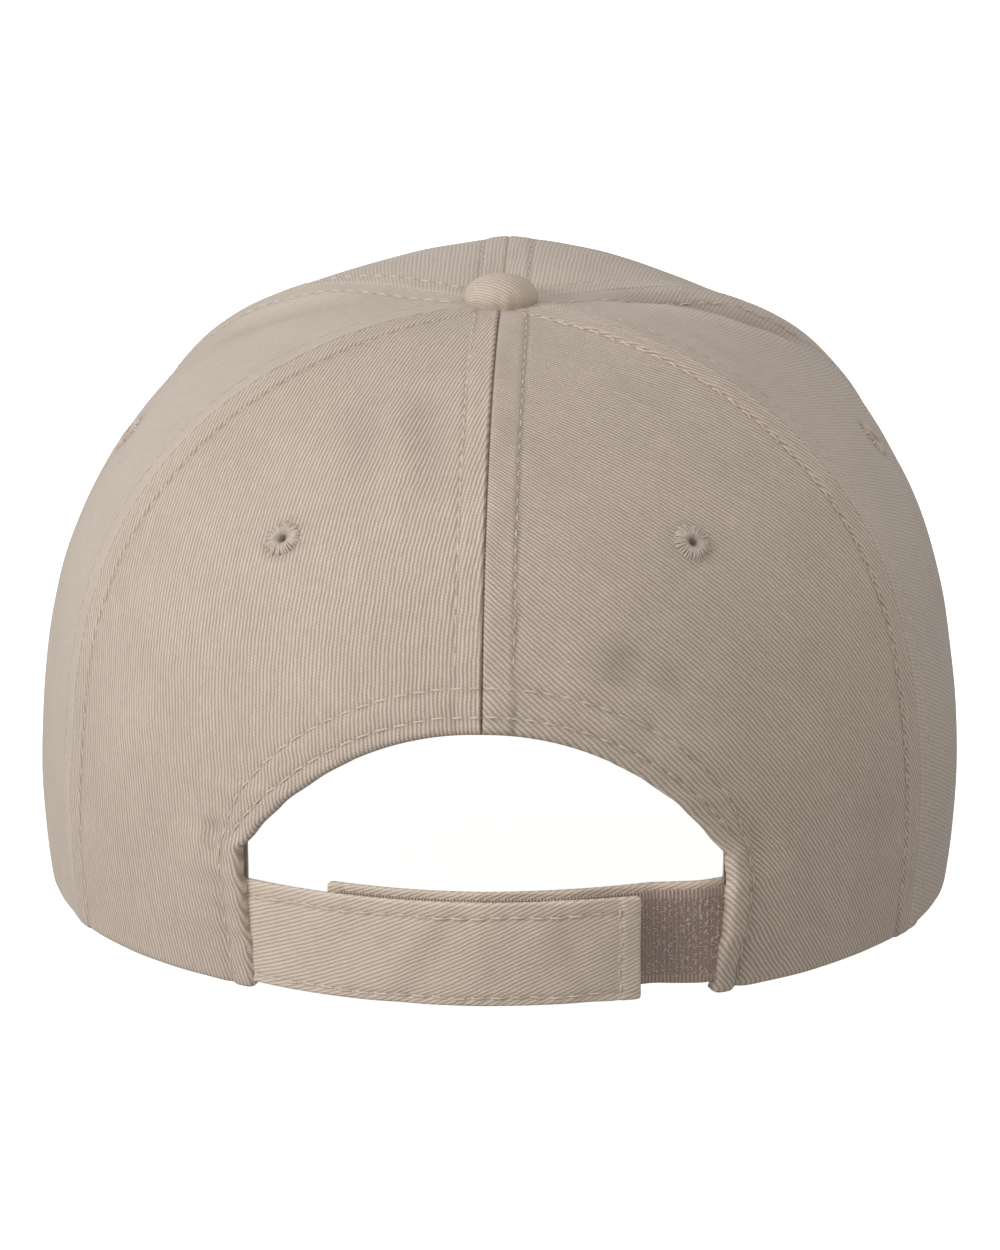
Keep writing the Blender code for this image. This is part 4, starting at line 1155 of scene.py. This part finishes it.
def make_visor():
    """The visor's top and under covers, closed by their rolled edges, their stitch rows and the board."""
    u = np.linspace(0, 1, 170)
    beside = np.array([-0.012, -0.006, 0, 0.006, 0.012])
    v = np.sort(np.concatenate([np.linspace(0, 1, 64)] + [row + beside for row in STITCH_ROWS]))
    v = v[(v >= 0) & (v <= 1)]
    curl = np.radians([10, 20, 30, 40, 50, 60, 70, 78, 85])
    threads = []
    for side, name, finish, slot in ((1, "visor_top_cover", FRONT_KHAKI, "khaki_twill"),
                                     (-1, "visor_under_cover", UNDER, "under_twill")):
        gap = 0.1 if side > 0 else 0.5
        rows, turn = np.concatenate([v, np.ones(len(curl))]), np.concatenate([np.zeros(len(v)), curl])
        ends = np.concatenate([np.zeros(len(curl)), u, np.ones(len(curl))])
        end_turn = np.concatenate([curl[::-1], np.zeros(len(u)), curl])
        U, VV = places(ends, rows)
        EE, TT = places(end_turn, turn)
        probe, _ = visor_points(U, VV, 0.0, 0.0, gap)
        channels = sum(-0.16 * bump((VV - row) * VISOR_DEPTH, 0, 0.8) for row in STITCH_ROWS)
        wavy = 0.05 * waves(probe, FINE_WAVES) + channels * (TT == 0)
        past = visor_end(U, VV, gap) * np.sin(EE)[:, None]
        faces_of_cover = []
        for height, wave in ((COVER_OUTSIDE, wavy), (COVER_OUTSIDE - COVER_THICK, 0.0)):
            face, _ = visor_points(U, VV, side * (height + wave) * np.cos(TT) * np.cos(EE),
                                   height * np.sin(TT) * np.cos(EE), gap)
            faces_of_cover.append(face + past * height)
        outer, inner = faces_of_cover
        coords = turned(outer[:, 0], outer[:, 1], 52)
        coords[:, 0] += outer[:, 2] * 0.8
        # lighter over the rolled edge; painted shade darkens the stitch channels
        tone = 1.0 + 0.06 * bump(TT, math.radians(40), 0.5) * (VV > 0.999)
        for row in STITCH_ROWS:
            tone -= 0.10 * bump((VV - row) * VISOR_DEPTH, 0, 0.5) * (TT == 0)
        add_sheet(name, outer, inner, grid_quads(len(ends), len(rows)), finish, slot, cloth=coords, tone=tone)
        for k, row in enumerate(STITCH_ROWS):
            s = np.linspace(0.012, 0.988, 1200)
            full = np.full(len(s), row)
            probe, _ = visor_points(s, full, 0.0, 0.0, gap)
            wavy = 0.05 * waves(probe, FINE_WAVES) - 0.16
            path, n = visor_points(s, full, side * (COVER_OUTSIDE + wavy), 0.0, gap)
            threads.append(stitches(path, side * n, seed=120 + k * 2 + side, sides=6, length=2.95))
    add_threads("visor_topstitching", threads, SEWING)
    columns, rows = 90, 30
    U, V = places(np.linspace(0.02, 0.98, columns), np.linspace(0.02, 0.98, rows))
    top, _ = visor_points(U, V, BOARD_HALF_THICK, 0.0, 1.6)
    bottom, _ = visor_points(U, V, -BOARD_HALF_THICK, 0.0, 1.6)
    add_sheet("visor_board", top, bottom, grid_quads(columns, rows), BOARD, "visor_board_plastic")


# ---------------------------------------------------------------- straps

HINGE_BLEND = (44.6, 34.6)                   # points at these distances from the middle along each strap are given as its hinge blend


def strap_point(x, z, depth):
    """Points on the back of the crown's plain surface, pushed in by a depth, and normals."""
    theta, share = at_back(x, z)
    n = skin_normal(theta, share)
    return skin(theta, share) - n * np.reshape(depth, (-1, 1)), n


def inner_depth(x):
    """Depth of the inner strap's outer face, which steps in to pass under the outer strap."""
    return STRAP_DEPTH + (INNER_DEPTH - STRAP_DEPTH) * smooth((41.5 - x) / 10.0)


EDGE_LADDER = [0, 0.04, 0.12, 0.25, 0.42, 0.65, 0.95, 1.3, 1.6, 1.9, 2.3, 2.7, 3.0, 3.3, 3.7, 4.3]


def slab(name, root, tip, low, high, depth, thick, corner, finish, slot, replaces, blend=None, body=None,
         wales=None, rows=(), end_row=None, soft=0.10, selvage=0.0, radius=0.62, step=0.8):
    """A strap from root to tip in x, closed all round, its edges folded and its free end rounded.

    depth gives how deep its outer face lies at x and z, rows its stitch rows as a side, 1 for the top, and a
    distance from that edge, and wales the direction of its cloth at x.
    """
    length = abs(tip - root)
    u = ladder(length, [0, 0.3, 0.8], EDGE_LADDER, step)
    v = ladder(high - low, EDGE_LADDER[:13], EDGE_LADDER[:13], 0.8)
    U, V = places(u, v)
    x = root + (tip - root) * U
    from_tip = (1 - U) * length
    half_height = (high - low) / 2 - corner * (1 - rounded(from_tip, corner))
    z = (low + high) / 2 + (2 * V - 1) * half_height
    from_edge = np.minimum(V, 1 - V) * 2 * half_height
    e = np.minimum(from_edge, np.minimum(from_tip, U * length + 0.3))
    half = np.maximum(thick / 2 * rounded(e, radius), 0.02)
    middle = depth(x, z) + thick / 2
    plain, n = strap_point(x, z, 0.0)
    dip = np.zeros(len(x))
    # lighter along the folded edges
    tone = 1 + 0.06 * bump(from_edge, 0.35, 0.4)
    for side, distance in rows:
        near = (1 - V if side > 0 else V) * 2 * half_height
        dip += 0.16 * bump(near, distance, 0.45) * smooth((from_tip - 2.5) / 1.5)
        dip += 0.05 * np.sin(2 * math.pi * x / STITCH_PITCH) * bump(near, distance, 0.8)
        # painted shade in the stitch row's groove
        tone -= 0.10 * bump(near, distance, 0.35)
    if end_row is not None:
        dip += 0.22 * bump(from_tip, end_row, 0.5) - 0.16 * (1 - smooth((from_tip - end_row + 0.3) / 0.8))
    dip -= soft * waves(plain, FINE_WAVES) * smooth(from_edge / 0.8)
    outer = plain - n * (middle - half + dip * (half > 0.1))[:, None]
    inner = plain - n * (middle + half)[:, None]
    across, along_it = x, z
    if wales:
        fine = np.linspace(-70, 70, 561)
        lean = np.sin(np.radians(wales(fine)))
        run = np.concatenate([[0], np.cumsum((lean[1:] + lean[:-1]) / 2 * np.diff(fine))])
        here = np.radians(wales(x))
        across, along_it = z * np.cos(here) - np.interp(x, fine, run), x * np.cos(here) + z * np.sin(here)
    coords = np.stack([across, along_it, np.minimum(z - low, high - z) < selvage], 1)
    add_sheet(name, outer, inner, grid_quads(len(u), len(v)), finish, slot, coords, tone, replaces, body=body,
              blend=blend)


def slab_row(x, z, depth, seed, soft=0.10, **more):
    """Stitches on a strap's outer face."""
    plain, n = strap_point(x, z, 0.0)
    path = plain - n * np.reshape(depth - soft * waves(plain, FINE_WAVES) + 0.10, (-1, 1))
    return stitches(path, n, seed=seed, **more)


def hinge_blend(body, side):
    middle = STRAP_BOTTOM + STRAP_WIDTH / 2
    bend, _ = strap_point(side * np.array(HINGE_BLEND), np.full(2, middle), STRAP_DEPTH)
    start, end = to_row(bend)
    return "cap", body, tuple(start), tuple(end)


def make_outer_strap():
    """The outer strap with its stitches, hook patch and hooks."""
    blend = hinge_blend("outer_strap", -1)
    low, high = STRAP_BOTTOM, STRAP_BOTTOM + STRAP_WIDTH
    middle = (low + high) / 2
    top_gap, low_gap, end_gap, patch_gap = 3.0, 1.7, 3.7, 2.2       # from the strap's edges
    soft = 0.13

    def depth(x, z):
        lift = -0.35 * smooth((x - 16) / 14) + 0.20 * np.sin((x + 20) / 17) * smooth((x + 42) / 12)
        up = z - middle
        fold = 0.22 * bump(x + 9.0 - 0.6 * up, 0, 3.0) + 0.20 * bump(x - 17.0 + 0.3 * up, 0, 2.4)
        return STRAP_DEPTH + 0.1 + lift + fold

    def patch_depth(x, z):
        return depth(x, z) + STRAP_THICK + 0.15

    slab("outer_strap", -STRAP_ROOT, OUTER_END, low, high, depth, STRAP_THICK, 0.8, STRAP_CLOTH,
         "strap_twill", ["outer_strap", "outer_strap_root"], blend, rows=((1, top_gap), (-1, low_gap)),
         end_row=end_gap, wales=lambda x: 24.5 + 1.5 * np.cos(x / 14), soft=soft)
    x = np.linspace(-HEM - 3, OUTER_END - 3.4, 700)
    parts = [slab_row(x, high - top_gap + 0.12 * np.sin(x / 3.1), depth(x, 0), 200, soft=soft),
             slab_row(x, low + low_gap + 0.10 * np.sin(x / 2.7), depth(x, 0), 201, soft=soft)]
    z = np.linspace(low + 1.2, high - 1.2, 300)
    x = OUTER_END - end_gap + 0.22 * np.sin(z / 1.7) + 0.012 * (z - middle)
    parts.append(slab_row(x, z, depth(x, z) + 0.08, 202, soft=soft, length=2.5, pitch=2.9, start=0.1,
                          stop=0.1))
    add_threads("outer_strap_stitching", parts, SEWING, blend=blend)
    slab("hook_patch", -13.0, OUTER_END - patch_gap, low + patch_gap, high - patch_gap, patch_depth, 0.5, 0.6,
         HOOK_TAPE, "hook_tape", ["hook_patch"], body="outer_strap", soft=0.0, radius=0.3, selvage=1.2)
    add_hooks(low, high, patch_depth)


def make_inner_strap():
    """The inner strap with its loop patch, loops and stitches."""
    blend = hinge_blend("inner_strap", 1)
    low, high = STRAP_BOTTOM + INNER_LIFT, STRAP_BOTTOM + STRAP_WIDTH + INNER_LIFT
    top_gap, low_gap, end_gap = 2.6, 1.7, 3.2
    tape_low, tape_high = low + 0.35, high - 1.3

    def depth(x, z):
        wave = 0.15 * np.sin(x / 11) * smooth((38 - x) / 12)
        return inner_depth(x) + 0.05 + wave + 0.5 * smooth((x - 34) / 5) + 0 * z

    def tape_depth(x, z):
        return depth(x, z) - 0.62

    slab("inner_strap", STRAP_ROOT, -INNER_END, low, high, depth, STRAP_THICK, 1.0, STRAP_CLOTH,
         "strap_twill", ["inner_strap", "inner_strap_root"], blend, rows=((1, top_gap), (-1, low_gap)),
         end_row=end_gap, wales=lambda x: 24 + 0 * x, soft=0.12)
    slab("loop_patch", 47.0, 2.2 - INNER_END, tape_low, tape_high, tape_depth, 0.5, 0.6, LOOP_TAPE,
         "loop_tape", ["loop_patch"], blend, soft=0.05, radius=0.3, selvage=1.7)
    add_loops(tape_low, tape_high, tape_depth, blend)
    z = np.linspace(low + 1.5, high - 1.5, 300)
    x = np.full(len(z), end_gap - INNER_END)
    parts = [slab_row(x, z, depth(x, z), 210)]
    x = np.linspace(3.4 - INNER_END, HEM + 2, 600)
    for level, seed in ((high - top_gap, 211), (low + low_gap, 212)):
        parts.append(slab_row(x, level, depth(x, level) + STRAP_THICK - 0.02, seed))
    add_threads("inner_strap_stitching", parts, SEWING, blend=blend)


def add_hooks(low, high, depth):
    """Rows of little moulded hooks on the hook patch."""
    parts = []
    for i, x in enumerate(np.arange(-12.2, OUTER_END - 3.0, 1.15)):
        for j, z in enumerate(np.arange(low + 3.6, high - 3.4, 1.05)):
            base, n = strap_point(np.array([x]), np.array([z + 0.25 * (i % 2)]), depth(x, z) + 0.4)
            base, n = base[0], -n[0]
            side = np.array([0.0, 0.0, 1.0 if j % 2 else -1.0])
            lift = np.array([0.0, 0.25, 0.48, 0.60, 0.56, 0.42])
            reach = np.array([0.0, 0.0, 0.04, 0.18, 0.32, 0.38])
            line = base + np.outer(lift, n) + np.outer(reach, side)
            parts.append(tube(line, np.cross(n, side), 0.07, 4))
    add_threads("hook_bristles", parts, LOOP_YARN, "hook_tape", "outer_strap")


def add_loops(low, high, depth, blend):
    """Curly loops of yarn standing on the loop patch, thicker towards the hem."""
    rng = np.random.default_rng(5)
    parts = []
    for _ in range(3600):
        x = rng.uniform(-27.0, 43.6)
        z = rng.uniform(low + 1.2, high - 1.9)
        wanted = 0.26 if x < 20 else 0.34 + 0.66 * smooth((x - 31) / 7)
        if rng.random() > wanted:
            continue
        x = round(x / 0.95) * 0.95 + rng.normal(0, 0.17)
        base, n = strap_point(np.array([x]), np.array([z]), depth(x, z) + 0.05)
        base, n = base[0], n[0]
        turn = rng.normal(0.9, 0.9)
        flat_way = np.array([math.cos(turn), 0.0, math.sin(turn)])
        size = rng.uniform(0.13, 0.36)
        a = np.linspace(0, math.pi * rng.uniform(1.0, 1.7), 8)
        lie = rng.uniform(0.4, 1.0)
        line = (base + np.outer(np.cos(a) * size, flat_way) + np.outer(np.sin(a) * size * lie, n)
                + np.outer(np.sin(a) * size * rng.uniform(0.2, 0.9), np.cross(n, flat_way)))
        parts.append(tube(line, np.cross(n, flat_way) + 0.01, 0.06, 4))
    add_threads("loop_pile", parts, LOOP_YARN, "loop_tape", blend=blend)


# ---------------------------------------------------------------- the stage

FLOOR_REACH = 9.0


def make_stage():
    """A white floor, soft lights, and the camera behind the cap and a little above it."""
    mesh = bpy.data.meshes.new("floor")
    corners = ((-1, -1), (1, -1), (1, 1), (-1, 1))
    mesh.from_pydata([(FLOOR_REACH * x, FLOOR_REACH * y, 0) for x, y in corners], [], [(0, 1, 2, 3)])
    n = Nodes("floor")
    n.shader.inputs["Base Color"].default_value = (0.6, 0.6, 0.6, 1)
    n.shader.inputs["Roughness"].default_value = 0.9
    n.shader.inputs["Emission Color"].default_value = (1, 1, 1, 1)
    n.shader.inputs["Emission Strength"].default_value = 0.945
    mesh.materials.append(n.material)
    floor = in_scene("floor", mesh)
    floor.visible_diffuse = False
    floor.visible_glossy = False

    world = bpy.context.scene.world or bpy.data.worlds.new("studio")
    bpy.context.scene.world = world
    world.use_nodes = True
    tree = world.node_tree
    tree.nodes.clear()
    output, background, coordinate, split, ramp = (tree.nodes.new("ShaderNode" + kind) for kind in (
        "OutputWorld", "Background", "TexCoord", "SeparateXYZ", "MapRange"))
    for start, end in ((coordinate.outputs["Generated"], split.inputs[0]),
                       (split.outputs["Z"], ramp.inputs["Value"]),
                       (ramp.outputs["Result"], background.inputs["Strength"]),
                       (background.outputs[0], output.inputs[0])):
        tree.links.new(start, end)
    for name, value in (("From Min", -0.6), ("From Max", 0.8), ("To Min", 0.34), ("To Max", 0.50)):
        ramp.inputs[name].default_value = value
    background.inputs["Color"].default_value = (1.0, 0.99, 0.98, 1)

    for name, place, size, power, colour in (
            ("key", (-1.65, -0.95, 0.54), 1.0, 25.0, (0.97, 0.985, 1.0)),
            ("fill", (0.7, -1.65, 0.9), 1.2, 6.5, (1.0, 0.985, 0.97)),
            ("top", (0.0, -0.5, 1.7), 1.3, 5.6, (0.92, 0.965, 1.0))):
        lamp = bpy.data.lights.new(name, "AREA")
        lamp.shape = "DISK"
        lamp.size = size
        lamp.energy = power
        lamp.color = colour
        made = in_scene(name, lamp)
        made.location = place
        made.rotation_mode = "QUATERNION"
        made.rotation_quaternion = (Vector((0, 0, 0.05)) - Vector(place)).to_track_quat("-Z", "Y")

    yaw, lift, distance = math.radians(2.03), math.radians(14.96), 1200.0
    back = np.array([math.sin(yaw) * math.cos(lift), -math.cos(yaw) * math.cos(lift), math.sin(lift)])
    target = np.array([-0.16, 0.0, 46.0])
    place = Vector(to_row([target + back * distance])[0])
    forward = ROTATION @ -back
    right = ROTATION @ np.cross(-back, [0, 0, 1])
    right /= np.linalg.norm(right)
    up = np.cross(right, forward)
    camera = bpy.data.cameras.new("camera")
    camera.sensor_width, camera.lens = 36.0, 179.0208
    camera.clip_start, camera.clip_end = 0.05, 30.0
    made = in_scene("camera", camera)
    made.matrix_world = Matrix.Translation(place) @ Matrix((right, up, -forward)).transposed().to_4x4()
    bpy.context.scene.camera = made
    bpy.context.scene.view_settings.view_transform = "Standard"


def dress_cad():
    """Better finishes for the CAD nodes that stay."""
    for node, finish in (("sweatband_stiffener", FOAM), ("button_shell", STEEL), ("button_rivet", STEEL)):
        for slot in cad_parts[node].material_slots:
            slot.link = "OBJECT"
            slot.material = finish


make_crown()
make_crown_stitching()
make_eyelets()
make_button()
make_tapes()
make_buckram()
make_sweatband()
make_visor()
make_outer_strap()
make_inner_strap()
dress_cad()
make_stage()
